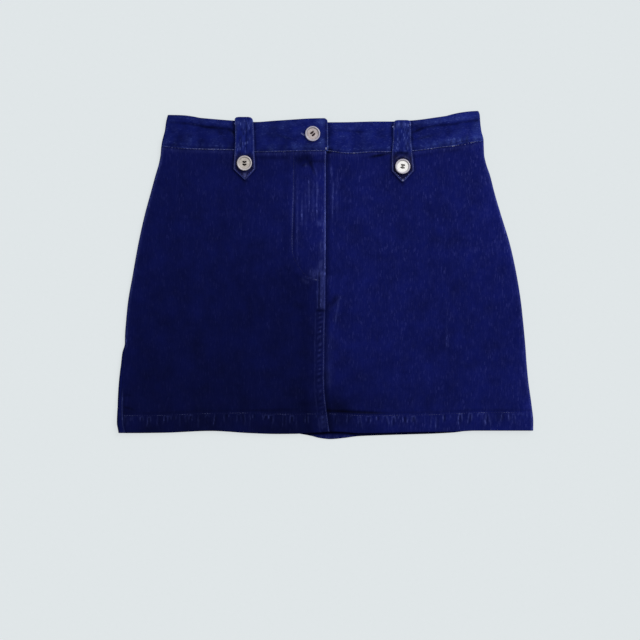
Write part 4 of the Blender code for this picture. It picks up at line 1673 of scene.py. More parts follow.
    def front(self, side: Side, name: str, finish: Material) -> Piece:
        """A front: its shell's outer face is moved by the look's height, away from the fold.

        Args:
            side: Which front it is.
            name: Name of the piece.
            finish: The denim.

        Returns:
            The piece.
        """
        tube, share = PressedTube(self.pattern, Layer.PANELS), self.shares()
        wrapped = tube.wrap(share, self.rolls(tube, share, side), side)
        look = self.look(wrapped.outer[..., 0], wrapped.outer[..., 1], side)
        outer = wrapped.outer.copy()
        outer[..., 2] += look[0] * wrapped.flat
        marks = cloth_marks(look, self.wash(*np.moveaxis(wrapped.along, -1, 0), side))
        rounding = (0.1, 0.5 if side is Side.LEFT else 0.4, 0.1, self.rim)
        return Shell(outer, wrapped.inner, wrapped.along, marks, rounding).build(name, finish)

    def back(self, finish: Material) -> Piece:
        """The back, from the left seam, under the whole skirt, to the right seam.

        Its outer face lies on the surface, with a furrow at the hem's stitches and a few shallow
        hollows. Its inner face shows only where it dips below the front's hem: painted shade close
        to that edge, then rubbed where it puckers, as the sine of a place that sways. Its wash value
        rises towards the right: painted light, as on the fronts.

        Args:
            finish: The denim.

        Returns:
            The piece.
        """
        tube, share = PressedTube(self.pattern, Layer.PANELS), self.shares()
        near, spans = steps_growing(0.5, 1.35, 18), int(self.back_span / self.back_column)
        rolled = Curve(self.pattern.rolled)(tube.fold(share, Side.LEFT)[0])
        halves = []
        for side, seam in ((Side.LEFT, rolled), (Side.RIGHT, 0 * share)):
            middle = -tube.roll_to(share, 0 * share, side)
            roll = between_rolls(seam - 0.15, middle, near, spans, (0,))
            halves.append(tube.wrap(share, roll, side))
        wrapped = halves[0].then_back(halves[1])
        x, y = np.moveaxis(wrapped.along, -1, 0)
        down = wrapped.outer[..., 2] < 0.01
        hollows = creases(BACK_HOLLOWS, x, y)[0] * down
        outer, inner = wrapped.outer.copy(), wrapped.inner.copy()
        outer[..., 2] += 0.34 * bell(y - self.pattern.hem_row(x, True), 1.3) * down + hollows
        inner[..., 2] += hollows
        above, under = y - self.pattern.hem_edge(x, True), self.pattern.hem_edge(x) - y
        puckers = 0.5 + 0.5 * np.sin(x / 1.9 + 2 * np.sin(x / 9))
        rubbed = 0.1 * bell(above, 2) + 0.2 * smooth_step(2.6, 4.6, under) * puckers
        look = looks(0, rubbed, 0.92 * (1 - smooth_step(1.4, 4.4, under)) * down)
        # Painted light: the back is painted paler towards the right, as the fronts are
        washed_and_painted_light = 0.16 + 0.22 * smooth_step(-240, -60, x) + 0.3 * smooth_step(0, 250, x)
        washed_and_painted_light = washed_and_painted_light + 0.14 * (1 - smooth_step(-258, -244, x))
        rounding = (0.1, 0.1, 0.1, self.rim)
        shell = Shell(outer, inner, wrapped.along, cloth_marks(look, washed_and_painted_light), rounding)
        return shell.build("denim_back", finish)

    def top(self, x: Floats, y: Floats, side: Side) -> Floats:
        """The upper face of a front at places on it."""
        wall = self.pattern.wall(x, y) + self.look(x, y, side)[0]
        return self.pattern.front_under(x, y, side) + wall

    def stitches(self, finish: Material) -> list[Piece]:
        """The rows of stitches on the three panels.

        Along the front hem they sink into the cloth and stand proud of it in turn, as the sine
        of a place that sways, and are paler where they stand proud. The fly's row is palest in
        a bell round its middle.

        Args:
            finish: The thread.

        Returns:
            One piece for each panel.
        """
        pattern, stitch = self.pattern, Stitch(pitch=3.1, radius=0.24)
        left, right, behind = (
            Stitching(f"stitches_{name}", stitch) for name in ("front_left", "front_right", "back")
        )
        split = float(pattern.lap_edge(-176))
        for rows, side, low, high in (
            (left, Side.LEFT, -257, split - 1),
            (right, Side.RIGHT, split + 2, 254),
        ):
            x = np.linspace(low, high, 300)
            y = pattern.hem_row(x)
            proud = np.clip(np.sin(x / 6 + 2 * np.sin(x / 29)), 0, 1)
            pale = 0.03 + 0.2 * self.wash(x, y, side) + 0.26 * proud
            rows.sew(x, y, self.top(x, y, side) - 0.2 * (1 - proud), pale)
        for high, low, pale in ((153, 5, 0.46), (-45, -196, 0.22)):
            y = np.linspace(high, low, 200)
            x = pattern.lap_edge(y) - 1
            left.sew(x, y, self.top(x, y, Side.LEFT), pale)
        x, y = path_through(self.fly_row, 1).T
        clear = 0.05 + 0.4 * bell(y - 72, 52) * smooth_step(16, 34, y)
        left.sew(x, y, self.top(x, y, Side.LEFT), clear)
        x, y = np.array([-13, -6.2])[:, None]
        left.tack(np.concatenate([x, y, self.top(x, y, Side.LEFT)]), (6, -1), 3, 0.35)
        x = np.linspace(-252, 250, 400)
        behind.sew(x, pattern.hem_row(x, True), 0.34, 0.3, up=-1)
        return [part.build(finish) for part in (left, right, behind)]


# Waistband and tabs


@dataclass(frozen=True)
class Waistband:
    """The band round the waist, its left end buttoned over its right end."""

    pattern: Pattern
    shadows: "tuple[Tab, ...]" = ()
    column: float = 1.3
    back_column: float = 3.2
    row: float = 1.1
    tall: float = 38.0
    rim: float = 0.8
    # Length of half the band between its fold and the close columns at its end
    half: float = 190.0
    # Heights of the seam's row of stitches and distance of the end's row from the edge
    seam_row: float = 0.5
    end_row: float = 0.9
    # Step of the waist seam's puckers, and the random rumples of the cloth
    pucker: float = 9.3
    rumples: Drape = Drape(seed=31, waves=22, shortest=9, longest=34, height=0.22)
    # Middle line of the buttonhole's shown end, pulled askew by the button, and its hidden rest
    hole: Table = ((-31.9, 176.9), (-29.6, 175.4), (-27, 174.2), (-18, 173.8), (-9, 174.4))
    # Where the buttonhole's stitches start and end beside that
    lips: tuple[float, float] = (0.1, 0.9)

    def look(self, x: Floats, y: Floats, tall: Floats, left: Floats, front: Floats) -> Floats:
        """Height, wear and shade of the band.

        The cloth is rumpled: a painted highlight where a rumple stands up, and painted shade where
        it sinks. Bells of the distance give a furrow at the seam's stitches with puckers above it,
        as the sine of a place that sways, and painted shade at the top and just above that row.
        Others rub the dye off the lower edge, the top, the side folds and the free left end, and
        paint shade on that end and on what lies beside it and beside the tabs.

        Args:
            x: Places across.
            y: Places along.
            tall: Distance above the band's lower edge.
            left: 1 on the left half, 0 on the right.
            front: 1 on the front, 0 on the back.

        Returns:
            Height, wear and shade, which are 0 on the back.
        """
        puckers = 0.5 + 0.5 * np.sin(2 * math.pi * x / self.pucker + 2.2 * np.sin(x / 23))
        low = bell(tall - 4.5, 3.2)
        uneven = 0.6 + 0.4 * np.sin(x / 7 + 2 * np.sin(x / 31))
        handled = 0.12 + 0.16 * smooth_step(112, 134, x)
        rumple = self.rumples(x, 1.6 * y)
        total = creases(BAND_MARKS, x, y)
        total += looks(rumple, 0.25 * np.clip(rumple, 0, 1), 0.8 * np.clip(-rumple, 0, 1))
        total += looks(
            0.22 * low * (puckers - 0.5) - 0.25 * bell(tall - self.seam_row, 1.2),
            handled * low * puckers + 0.05 * bell(tall - 37, 2) + 0.5 * bell(tall, 0.7) * uneven,
            0.22 * bell(tall - self.tall, 1) + 0.24 * bell(tall - 2.6, 1.1),
        )
        total[1] += 0.2 * bell(self.pattern.inside(x, y) - 1, 1.8)
        away = self.pattern.lap_edge(y) - x
        end, beside = left * front, 1 - left
        total[1] += end * (0.75 * bell(away - 0.2, 0.8) + 0.1 * bell(away - 7, 5))
        total[2] += end * 0.3 * bell(away - 2.6, 1.2)
        total[2] += beside * (0.42 * bell(-away - 1.2, 1.4) + 0.2 * bell(-away - 4, 2.5))
        total[2] += sum(tab.shadow(x, y) for tab in self.shadows)
        total[0] *= 1 - beside * (1 - smooth_step(-1, 0.5, -away))
        return total * front

    def wash(self, x: Floats, tall: Floats, left: Floats) -> Floats:
        """How far the dye has washed out of the band, together with painted light.

        It is even but for the left, which is painted darker as far as the tab, as the left front is.
        To the right end it rises in bells at the top and above the seam, with less between them.

        Args:
            x: Places across.
            tall: Distance above the band's lower edge.
            left: 1 on the left half, 0 on the right.

        Returns:
            0 to about 1 at each place.
        """
        rubbed = 0.34 * bell(tall - 9, 7) * smooth_step(120, 165, x)
        rubbed = rubbed + 0.22 * bell(tall - 34, 5) - 0.16 * bell(tall - 20, 7)
        end = (1 - left) * smooth_step(90, 160, x)
        washed_and_painted_light = 0.9 - 0.24 * left * (1 - smooth_step(-85, -10, x)) - 0.05 * left
        return washed_and_painted_light + end * (0.06 + rubbed)

    def grid(self) -> tuple[Wrapped, Floats, Floats, Floats]:
        """Places of the whole band, from its left end round the back to its right end.

        Returns:
            The places, and at each of them the distance above the lower edge, 1 on the left half
            and 0 on the right, and 1 on the front and 0 on the back.
        """
        tube = PressedTube(self.pattern, Layer.BAND)
        low = np.arange(0.35, self.tall - self.rim - 0.35, self.row)
        share = np.concatenate([[0], low, self.tall - self.rim - np.array([0.35, 0])]) / self.tall
        near, far = steps_growing(0.4, 1.25, 14), steps_growing(0.3, 1.1, 8)
        zero = np.zeros_like(share)
        halves = []
        for side in Side:
            y = tube.front_y(share, zero, side)
            target = self.pattern.hidden_edge(y) + self.pattern.band_cut_back
            if side is Side.LEFT:
                target = self.pattern.lap_edge(y) - 0.5
            end, middle = tube.roll_to(share, target, side), -tube.roll_to(share, zero, side)
            front = between_rolls(zero, end, near, int(self.half / self.column), far[::-1])
            back = between_rolls(zero, middle, near, int(self.half / self.back_column), (0,))
            roll = np.concatenate([front[::-1], back[1:]])
            halves.append((tube.wrap(share, roll, side), smooth_step(0, 3, roll)))
        wrapped = halves[0][0].then_back(halves[1][0])
        front = np.concatenate([halves[0][1], halves[1][1][::-1][1:]])
        left = np.zeros_like(front)
        left[: len(halves[0][1])] = 1
        return wrapped, np.broadcast_to(share * self.tall, front.shape), left, front

    def band(self, finish: Material) -> Piece:
        """The band itself: its shell's outer face is moved by the look's height.

        It is cut along the warp, so the cloth's own length runs across the skirt.

        Args:
            finish: The denim.

        Returns:
            The piece.
        """
        wrapped, tall, left, front = self.grid()
        x, y = wrapped.outer[..., 0], wrapped.outer[..., 1]
        look = self.look(x, y, tall, left, front)
        outer = wrapped.outer.copy()
        outer[..., 2] += look[0] * wrapped.flat
        marks = cloth_marks(look, self.wash(x, tall, left))
        rounding = (0.5, 0.3, 0.15, self.rim)
        shell = Shell(outer, wrapped.inner, wrapped.along[..., ::-1], marks, rounding)
        return shell.build("denim_waistband", finish)

    def top(self, x: Floats, y: Floats, side: Side) -> Floats:
        """The upper face of the front band at places on it, without its small creases."""
        return self.pattern.band_under(x, y, side) + self.pattern.band

    def stitches(self, finish: Material) -> Piece:
        """The row at the waist seam, front and back, with the row and the tack at the left end.

        The seam's thread is paler in bells at three stretches, and varies as the sine of a place
        that sways.

        Args:
            finish: The thread.

        Returns:
            The piece.
        """
        pattern = self.pattern
        rows = Stitching("stitches_waistband", Stitch(pitch=3.8, share=0.92, radius=0.36))
        for side, low, high in ((Side.LEFT, -203, -2), (Side.RIGHT, 1, 193)):
            x = np.linspace(low, high, 240)
            y = pattern.seam(x, side) + self.seam_row
            pale = 0.42 + 0.16 * np.sin(x / 5 + 2 * np.sin(x / 17))
            for place, wide, gain in ((38, 24, 0.3), (-152, 36, 0.34), (160, 32, 0.27)):
                pale = pale + gain * bell(x - place, wide)
            rows.sew(x, y, self.top(x, y, side) - 0.14, pale)
        y = np.linspace(156.4, 189, 60)
        x = pattern.lap_edge(y) - self.end_row
        rows.sew(x, y, self.top(x, y, Side.LEFT) - 0.2, 0.34)
        x = np.linspace(-200, 190, 300)
        rows.sew(x, Curve(pattern.waist_back, 1)(x) + 2, 0.18, 0.3, up=-1)
        z = float(self.top(np.array(-1.6), np.array(158.6), Side.LEFT)) - 0.1
        rows.tack(np.array([-0.9, 157.8, z]), (1.6, 0), 4, 1.35)
        return rows.build(finish)

    def buttonhole(self, finish: Material) -> Piece:
        """The buttonhole: close stitches across both lips of its slit.

        Each stitch runs from 0.1 mm beside the slit to 0.9 mm from it, along the slit's normal.

        Args:
            finish: The thread.

        Returns:
            The piece.
        """
        rows = Stitching("buttonhole_waistband", Stitch(radius=0.26, rise=0.15))
        path = path_through(self.hole, 0.4)
        ahead = unit(np.gradient(path, axis=0))
        side = np.stack([-ahead[:, 1], ahead[:, 0]], axis=-1)
        z = self.top(path[:, 0], path[:, 1], Side.LEFT)[:, None]
        for way in (-1, 1):
            ends = [np.hstack([path + way * reach * side, z]) for reach in self.lips]
            rows.add(ends[0], ends[1], 0.95)
        return rows.build(finish)


@dataclass(frozen=True)
class Tab:
    """A pointed tab, folded under at its top, that crosses the band and ends in a button.

    Attributes:
        name: Its CAD node.
        side: The front that it lies on.
        outline: y, x of the middle and width, from the fold to the corners and the tip.
        button: Middle of its button.
        pattern: The skirt's pattern.
        marks: Creases and rubbed patches, with x counted from its middle line.
        pale: How far the dye of its edge's thread is rubbed off.
        tacks: The same for its tacks at the left, at the right and at the tip, or 0 for none.
        soil: How far its lower part is soiled.
        soil_reach: How far above the button that ends.
        shaded: How strong the painted shadow is on the cloth on its left.
    """

    name: str
    side: Side
    outline: Table
    button: tuple[float, float]
    pattern: Pattern
    marks: Table
    pale: float
    tacks: tuple[float, float, float]
    soil: float
    soil_reach: float
    shaded: float
    # Its hidden end below the fold, and the way below that on which it comes down to the band
    fold_length: float = 10.0
    settle: float = 15.0
    # Air under it, and how far its tip stands up
    rest: float = 0.1
    tip_lift: float = 0.9
    edge_row: float = 1.2
    row: float = 0.9
    columns: int = 31
    rim: float = 0.5
    corner: float = 3.2
    mottle: Drape = Drape(seed=19, waves=16, shortest=3.2, longest=9, height=0.16)

    def shaped(self, y: Floats, column: int) -> Floats:
        """The outline's middle (1) or width (2), even from its corners to its tip.

        Args:
            y: Places along.
            column: Which of the outline's columns.

        Returns:
            The value at each place.
        """
        corner, tip = self.outline[-2], self.outline[-1]
        share = np.clip((y - tip[0]) / (corner[0] - tip[0]), 0, 1)
        below = tip[column] + (corner[column] - tip[column]) * share
        return np.where(y < corner[0], below, Curve(self.outline, column)(y))

    def shadow(self, x: Floats, y: Floats) -> Floats:
        """Painted shadow on the cloth beside the tab, in bells of the distance from its edges and
        its tip.

        Args:
            x: Places across.
            y: Places along.

        Returns:
            Shade at each place.
        """
        half = self.shaped(y, 2) / 2
        left, right = self.shaped(y, 1) - half - x, x - self.shaped(y, 1) - half
        tip_y, tip_x = self.outline[-1][:2]
        beside = smooth_step(tip_y - 2, tip_y + 6, y) * (1 - smooth_step(190, 198, y))
        dark = self.shaded * bell(left - 1.5, 2.2) + 0.36 * bell(right - 1.2, 1.5)
        return dark * beside + 0.5 * bell(np.hypot(x - tip_x, y - tip_y + 2), 2.8)

    def beneath(self, y: Floats) -> Floats:
        """The cloth under the tab: the highest of five places across its width.

        Args:
            y: Places along.

        Returns:
            z at each place.
        """
        share = np.array([-0.5, -0.25, 0, 0.25, 0.5])[:, None]
        x = self.shaped(y, 1) + self.shaped(y, 2) * share
        along = np.broadcast_to(y, x.shape)
        band = self.pattern.band_under(x, along, self.side) + self.pattern.band
        panel = self.pattern.front_under(x, along, self.side) + self.pattern.wall(x, along)
        on_band = along >= self.pattern.seam(x, self.side) - self.pattern.gap
        return np.where(on_band, band, panel).max(axis=0)

    def path(self) -> Floats:
        """Middle line of the tab's wall, from its hidden end over its fold to its tip.

        The hidden end lies flat, the fold is half a ring of radius (tab + gap) / 2, and below
        it the tab settles from the fold's height on to what lies beneath, bridging the step at
        the waist seam, with its tip a little up.

        Returns:
            y and z of each point.
        """
        pattern = self.pattern
        radius = (pattern.tab + pattern.gap) / 2
        high = self.outline[0][0] - radius - pattern.tab / 2
        rest = float(self.beneath(np.array([high - 4]))[0]) + pattern.gap + pattern.tab / 2
        under = np.linspace(high - self.fold_length, high, 8)[:-1]
        turn = np.linspace(0, math.pi, 9)[:-1]
        corner, tip = self.outline[-2][0], self.outline[-1][0]
        pointed = np.linspace(corner, tip, int((corner - tip) / self.row) + 2)
        down = np.concatenate([np.arange(high, corner, -self.row), pointed])
        seam = float(pattern.seam(np.array(self.outline[0][1]), self.side))
        on_band = float(self.beneath(np.array([seam + 6]))[0])
        over = np.maximum(self.beneath(down + 3), self.beneath(down))
        bridge = on_band - (on_band - over) * smooth_step(2, 16, seam - down)
        lift = self.tip_lift * smooth_step(0, corner - tip, corner - down)
        hang = np.maximum(over, bridge) + pattern.gap + pattern.tab / 2 + self.rest + lift
        top = rest + 2 * radius + self.rest
        low, full = high - self.fold_length - self.settle, high - self.fold_length
        hang = hang + (top - hang) * smooth_step(low, full, down)
        hang = np.convolve(np.pad(hang, 2, mode="edge"), np.ones(5) / 5, mode="valid")
        y = np.concatenate([under, high + radius * np.sin(turn), down])
        z = np.concatenate([0 * under + rest, rest + radius * (1 - np.cos(turn)), hang])
        return np.stack([y, z], axis=-1)

    def top(self, y: Floats) -> Floats:
        """Upper face of the tab at places below its fold.

        Args:
            y: Places along.

        Returns:
            z at each place.
        """
        path = self.path()
        shown = path[np.argmax(path[:, 0]) :][::-1]
        return np.interp(y, shown[:, 0], shown[:, 1]) + self.pattern.tab / 2

    def cloth(self, x: Floats, y: Floats, edge: Floats, shown: Floats) -> tuple[Floats, Marks]:
        """How the tab's face rises, and what its material reads.

        A random mottle raises it, with the marks. Below the button's height it is soiled, least
        at its edges and where the mottle or a mark is high. The edges are rubbed in a bell of the
        distance from them. The high mottle above the soil is a painted highlight, the low mottle is
        painted shade, and so is the soiled part away from its edges.

        Args:
            x: Places across.
            y: Places along.
            edge: Distance from the nearest side edge.
            shown: 1 on the shown face, 0 on the hidden end.

        Returns:
            The height, and the values by their attributes' names.
        """
        mottle = self.mottle(x, 0.55 * y)
        marks = creases(self.marks, x - self.shaped(y, 1), y)
        reach = self.button[1] + self.soil_reach
        clean = smooth_step(reach - 8, reach + 2, y)
        look = marks + looks(
            0,
            (0.44 - 0.14 * clean) * bell(edge - 0.9, 0.8) + 0.4 * np.clip(mottle, 0, 1) * clean,
            1.1 * np.clip(-mottle, 0, 1) + 0.22 * (1 - clean) * smooth_step(1.8, 3, edge),
        )
        soil = self.soil * (1 - clean) * (0.35 + 0.65 * smooth_step(1, 2.6, edge)) * shown
        soil = soil * np.clip(1 - 1.6 * mottle, 0.5, 1) * (1 - 0.6 * np.clip(marks[1], 0, 1))
        washed_and_painted_light = 0.92 + 0 * x
        return (0.7 * mottle + marks[0]) * shown, cloth_marks(look * shown, washed_and_painted_light, soil)

    def build(self, finish: Material) -> Piece:
        """The tab's shell: its middle line moved out on both sides by half the wall.

        The top corners are rounded: each side draws in by r - sqrt(r * r - (r - d) ** 2) at a
        distance d below the fold. The face dips at its edge and at the row of stitches.

        Args:
            finish: The denim.

        Returns:
            The piece.
        """
        path = self.path()
        ahead = unit(np.gradient(path, axis=0))
        half = self.pattern.tab / 2
        y, z = path.T
        past = self.corner - np.clip(y.max() + 0.1 - y, 0.1, self.corner)
        drawn_in = self.corner - np.sqrt(self.corner**2 - past**2)
        share = 0.5 * np.sin(math.pi * np.linspace(-0.5, 0.5, self.columns))[:, None]
        width = self.shaped(y, 2) - 2 * self.rim - 2 * drawn_in
        x = self.shaped(y, 1) + width * share
        edge = (0.5 - np.abs(share)) * width + self.rim
        along = np.broadcast_to(y, x.shape)
        shown = (np.arange(len(y)) > np.argmax(y)) * np.ones_like(x)
        out = 0.62 + 0.38 * smooth_step(0.5, 1.7, edge)
        out = half * out - 0.2 * bell(edge - self.edge_row, 0.7)
        outer = np.stack([x, along + ahead[:, 1] * out, z - ahead[:, 0] * out], axis=-1)
        inner = np.stack([x, along - ahead[:, 1] * half, 0 * x + z + ahead[:, 0] * half], axis=-1)
        height, marks = self.cloth(x, along, edge, shown)
        outer[..., 2] += height
        own = np.stack([x, np.broadcast_to(-lengths(path), x.shape)], axis=-1)
        shell = Shell(outer, inner, own, marks, (self.rim, self.rim, 0.3, 0.4))
        return shell.build(f"denim_{self.name}", finish)

    def stitches(self, finish: Material) -> Piece:
        """The row down each side and on to the tip, with the tacks at the top and the tip.

        Args:
            finish: The thread.

        Returns:
            The piece.
        """
        rows = Stitching(f"stitches_{self.name}", Stitch(pitch=2.5, radius=0.26, share=0.8))
        corner, tip = self.outline[-2][0], self.outline[-1][0]
        top = self.outline[0][0] - 3
        turned, end = corner + 0.4, tip + 2.2
        for way, tack in zip((-1, 1), self.tacks):
            y = np.linspace(top, turned, 120)
            x = self.shaped(y, 1) + way * (self.shaped(y, 2) / 2 - self.edge_row)
            rows.sew(x, y, self.top(y) - 0.22, self.pale)
            share = np.linspace(0, 1, 20)
            x = x[-1] + share * (float(self.shaped(np.array(end), 1)) - x[-1])
            y = turned + share * (end - turned)
            rows.sew(x, y, self.top(y) - 0.22, self.pale + 0.4)
            if tack:
                y = np.array(top - 4.4 + way)
                x = float(self.shaped(y, 1) + way * (self.shaped(y, 2) / 2 - 0.5) - 0.7)
                rows.tack(np.array([x, y, self.top(y) - 0.5]), (1.6, 0), 4, tack)
        if self.tacks[2]:
            y = np.array(tip + 1.5)
            middle = np.array([self.shaped(y, 1), y, self.top(y) - 0.15])
            rows.tack(middle, (1.3, 0), 4, self.tacks[2])
        return rows.build(finish)


# Buttons


class ThreadWay(Enum):
    """How the thread crosses a button's four holes."""

    BARS = "two bars side by side"
    ZED = "two bars and one across"


@dataclass(frozen=True)
class Button:
    """A four-hole button with a raised rim round a shallow dish, and its thread.

    Attributes:
        name: Its CAD node.
        turn: How far it is turned, in degrees.
        way: How its thread runs.
        sag: How far the thread's middle is pulled towards the hem.
    """

    name: str
    turn: float
    way: ThreadWay
    sag: float
    # Radius of a hole, distance between two, and how many sides a quarter of it has
    hole: float = 1.05
    hole_apart: float = 3.3
    sides: int = 16
    # Strands in a bar, radius of one, and the distance between two
    strands: int = 3
    strand: float = 0.4216
    strand_step: float = 0.816
    # How far below the dish a bar starts, and how high it arches from there
    sunk: float = 1.2
    arch: float = 1.5
    # How much higher the one across goes, which is a single strand
    over: float = 0.35
    # Height of the dish's face, and its dip round a hole
    floor: float = 1.9
    dip: float = 0.12
    # Radius of the rim's foot in the dish, and of its outermost line
    foot: float = 7.2
    brim: float = 9.4
    # radius, height: from the dish's edge over the rim and down to the underside
    rim: Table = (
        (6.5, 1.9), (6.95, 1.86), (7.2, 1.92), (7.38, 2.2), (7.58, 2.6), (7.88, 2.86),
        (8.25, 2.95), (8.62, 2.9), (8.98, 2.7), (9.25, 2.36), (9.4, 1.9), (9.3, 1.4), (9, 0.9),
        (8.5, 0.42), (7.9, 0.1), (7.4, 0),
    )

    def seat(self) -> Floats:
        """Middle of the button's underside in the frame, in metres, from its CAD node."""
        low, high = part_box(self.name)
        return np.array([(low.x + high.x) / 2, (low.y + high.y) / 2, low.z])

    def placed(self, points: Floats) -> Floats:
        """Points turned with the button and put in the frame, in metres.

        Args:
            points: Their places about the middle of its underside, in millimetres.

        Returns:
            Their places in the frame.
        """
        angle = math.radians(self.turn)
        cos, sin = math.cos(angle), math.sin(angle)
        x, y, z = np.moveaxis(points, -1, 0)
        return np.stack([x * cos - y * sin, x * sin + y * cos, z], axis=-1) * MM + self.seat()

    def quarter(self) -> tuple[Floats, Ints]:
        """One quarter of the button's plate, round one of its holes.

        Between the hole and the quarter's outline a place is hole * (1 - s) + outline * s, on
        the upper face and again on the lower one, and the last loop joins them in the hole.

        Returns:
            Points, in loops of equal length, and faces.
        """
        count = 4 * self.sides
        angle = 2 * math.pi * np.arange(count) / count + math.pi / 4
        middle, reach = self.hole_apart / 2, self.rim[0][0]
        hole = middle + self.hole * np.stack([np.cos(angle), np.sin(angle)])
        quarter = np.linspace(0, math.pi / 2, self.sides * 2 + 1)[:-1]
        even = np.linspace(0, reach, self.sides + 1)[:-1]
        arc = np.stack([reach * np.cos(quarter), reach * np.sin(quarter)])
        down, out = np.stack([0 * even, reach - even]), np.stack([even, 0 * even])
        outline = np.roll(np.concatenate([arc, down, out], axis=1), -self.sides, axis=1)
        share = np.linspace(0, 1, 6)[:, None, None]
        plate = hole * (1 - share) + outline * share
        top = np.concatenate([plate, np.full((6, 1, count), self.floor)], axis=1)
        top[0, 2] -= self.dip
        low = np.concatenate([plate[::-1], np.zeros((6, 1, count))], axis=1)
        points = np.moveaxis(np.concatenate([top, low, top[:1]]), 1, -1)
        faces = tube_faces(points.shape[0], count)
        return points.reshape(-1, 3), faces[faces[:, 0] // count != 5]

    def build(self, finish: Material) -> Piece:
        """The whole button: four quarters round the holes, and the turned rim round them.

        The rim is its profile carried round the middle, with an edge kept sharp above 50 degrees.

        Args:
            finish: The button's material.

        Returns:
            The piece.
        """
        points, faces = self.quarter()
        parts, all_faces = [], []
        for step in range(4):
            cos, sin = round(math.cos(step * math.pi / 2)), round(math.sin(step * math.pi / 2))
            parts.append(points @ np.array([[cos, sin, 0], [-sin, cos, 0], [0, 0, 1]]))
            all_faces.append(faces + step * len(points))
        around = 2 * math.pi * np.arange(8 * self.sides) / (8 * self.sides)
        radius, height = np.array(self.rim + ((self.rim[0][0], 0),)).T[:, :, None]
        ring = [radius * np.cos(around), radius * np.sin(around), height + 0 * around]
        parts.append(np.stack(ring, axis=-1).reshape(-1, 3))
        all_faces.append(tube_faces(len(radius), len(around)) + 4 * len(points))
        mesh = merged(f"shell_{self.name}", self.placed(np.concatenate(parts)), all_faces)
        mesh.set_sharp_from_angle(angle=math.radians(50))
        place = np.zeros(3 * len(mesh.vertices))
        mesh.vertices.foreach_get("co", place)
        mark_points(mesh, self.marks(*(place.reshape(-1, 3) - self.seat())[:, :2].T / MM))
        return place_piece(f"shell_{self.name}", mesh, finish)

    def marks(self, across: Floats, along: Floats) -> Marks:
        """What the button's material reads: where the rim is, and where painted shade is.

        Painted shade lies in a bell round the rim's foot and on the rim, both more the further up
        and right, and all round the outer edge.

        Args:
            across: Distances to the right of the middle.
            along: Distances above it.

        Returns:
            The values by their attributes' names.
        """
        away = np.hypot(across, along)
        upper = 0.5 + 0.5 * (along + 0.5 * across) / (1.12 * np.maximum(away, 0.1))
        past = away - self.foot
        painted_shade = bell(past, 0.55) * (0.25 + 0.75 * upper) + 0.24 * upper * smooth_step(0.2, 1, past)
        painted_shade = painted_shade + 0.3 * smooth_step(self.brim - 0.5, self.brim, away)
        return {"rim": smooth_step(0, 0.4, past), "groove": painted_shade}

    def sewn(self, finish: Material) -> Piece:
        """The thread through the holes: strands side by side that arch from hole to hole.

        A strand is a round tube along a line that rises by the root of the sine of the share
        of its way, and sags towards the hem by the sine itself.

        Args:
            finish: The thread's material.

        Returns:
            The piece.
        """
        half = self.hole_apart / 2
        bars = [((-half, half), (half, half), 0), ((-half, -half), (half, -half), 0)]
        if self.way is ThreadWay.ZED:
            bars.append(((-half, -half), (half, half), self.over))
        rings, sides = 13, 8
        t = np.linspace(0, 1, rings)
        turn = 2 * math.pi * np.arange(sides)[:, None] / sides
        parts, faces = [], []
        for start, end, lift in bars:
            start, end = np.array(start), np.array(end)
            beside = np.array([start[1] - end[1], end[0] - start[0]]) / np.hypot(*(end - start))
            for strand in range(1 if lift else self.strands):
                off = 0 if lift else (strand - (self.strands - 1) / 2) * self.strand_step
                swell = np.sin(math.pi * t)[:, None]
                flat = start + beside * off * (0.5 + 0.5 * swell) + (end - start) * t[:, None]
                flat = flat - np.array([0, self.sag]) * swell
                arch = self.floor - self.sunk + (self.arch + lift) * np.sin(math.pi * t) ** 0.5
                line = np.column_stack([flat, arch])
                ahead = unit(np.gradient(line, axis=0))
                across = unit(np.cross(ahead, np.array([0, 0, 1])))
                up = np.cross(across, ahead)
                ring = across[:, None] * np.cos(turn) + up[:, None] * np.sin(turn)
                first = len(parts) * rings * sides
                parts.append((line[:, None] + ring * self.strand).reshape(-1, 3))
                faces.append(tube_faces(rings, sides) + first)
        mesh = merged(f"thread_{self.name}", self.placed(np.concatenate(parts)), faces, True)
        return place_piece(f"thread_{self.name}", mesh, finish)


def merged(name: str, points: Floats, faces: list[Ints], close: bool = False) -> bpy.types.Mesh:
    """A mesh with its doubles merged and all its faces outwards.

    Args:
        name: Name of the mesh.
        points: Its points in the frame, in metres.
        faces: Its faces, in several arrays.
        close: True where open ends are to be closed.

    Returns:
        The mesh.
    """
    mesh = bpy.data.meshes.new(name)
    mesh.from_pydata(points.tolist(), [], np.concatenate(faces).tolist())
    solid = bmesh.new()
    solid.from_mesh(mesh)
    bmesh.ops.remove_doubles(solid, verts=solid.verts, dist=0.004 * MM)
    if close:
        bmesh.ops.holes_fill(solid, edges=[e for e in solid.edges if e.is_boundary], sides=0)
    bmesh.ops.recalc_face_normals(solid, faces=solid.faces)
    solid.to_mesh(mesh)
    solid.free()
    return mesh


# Studio


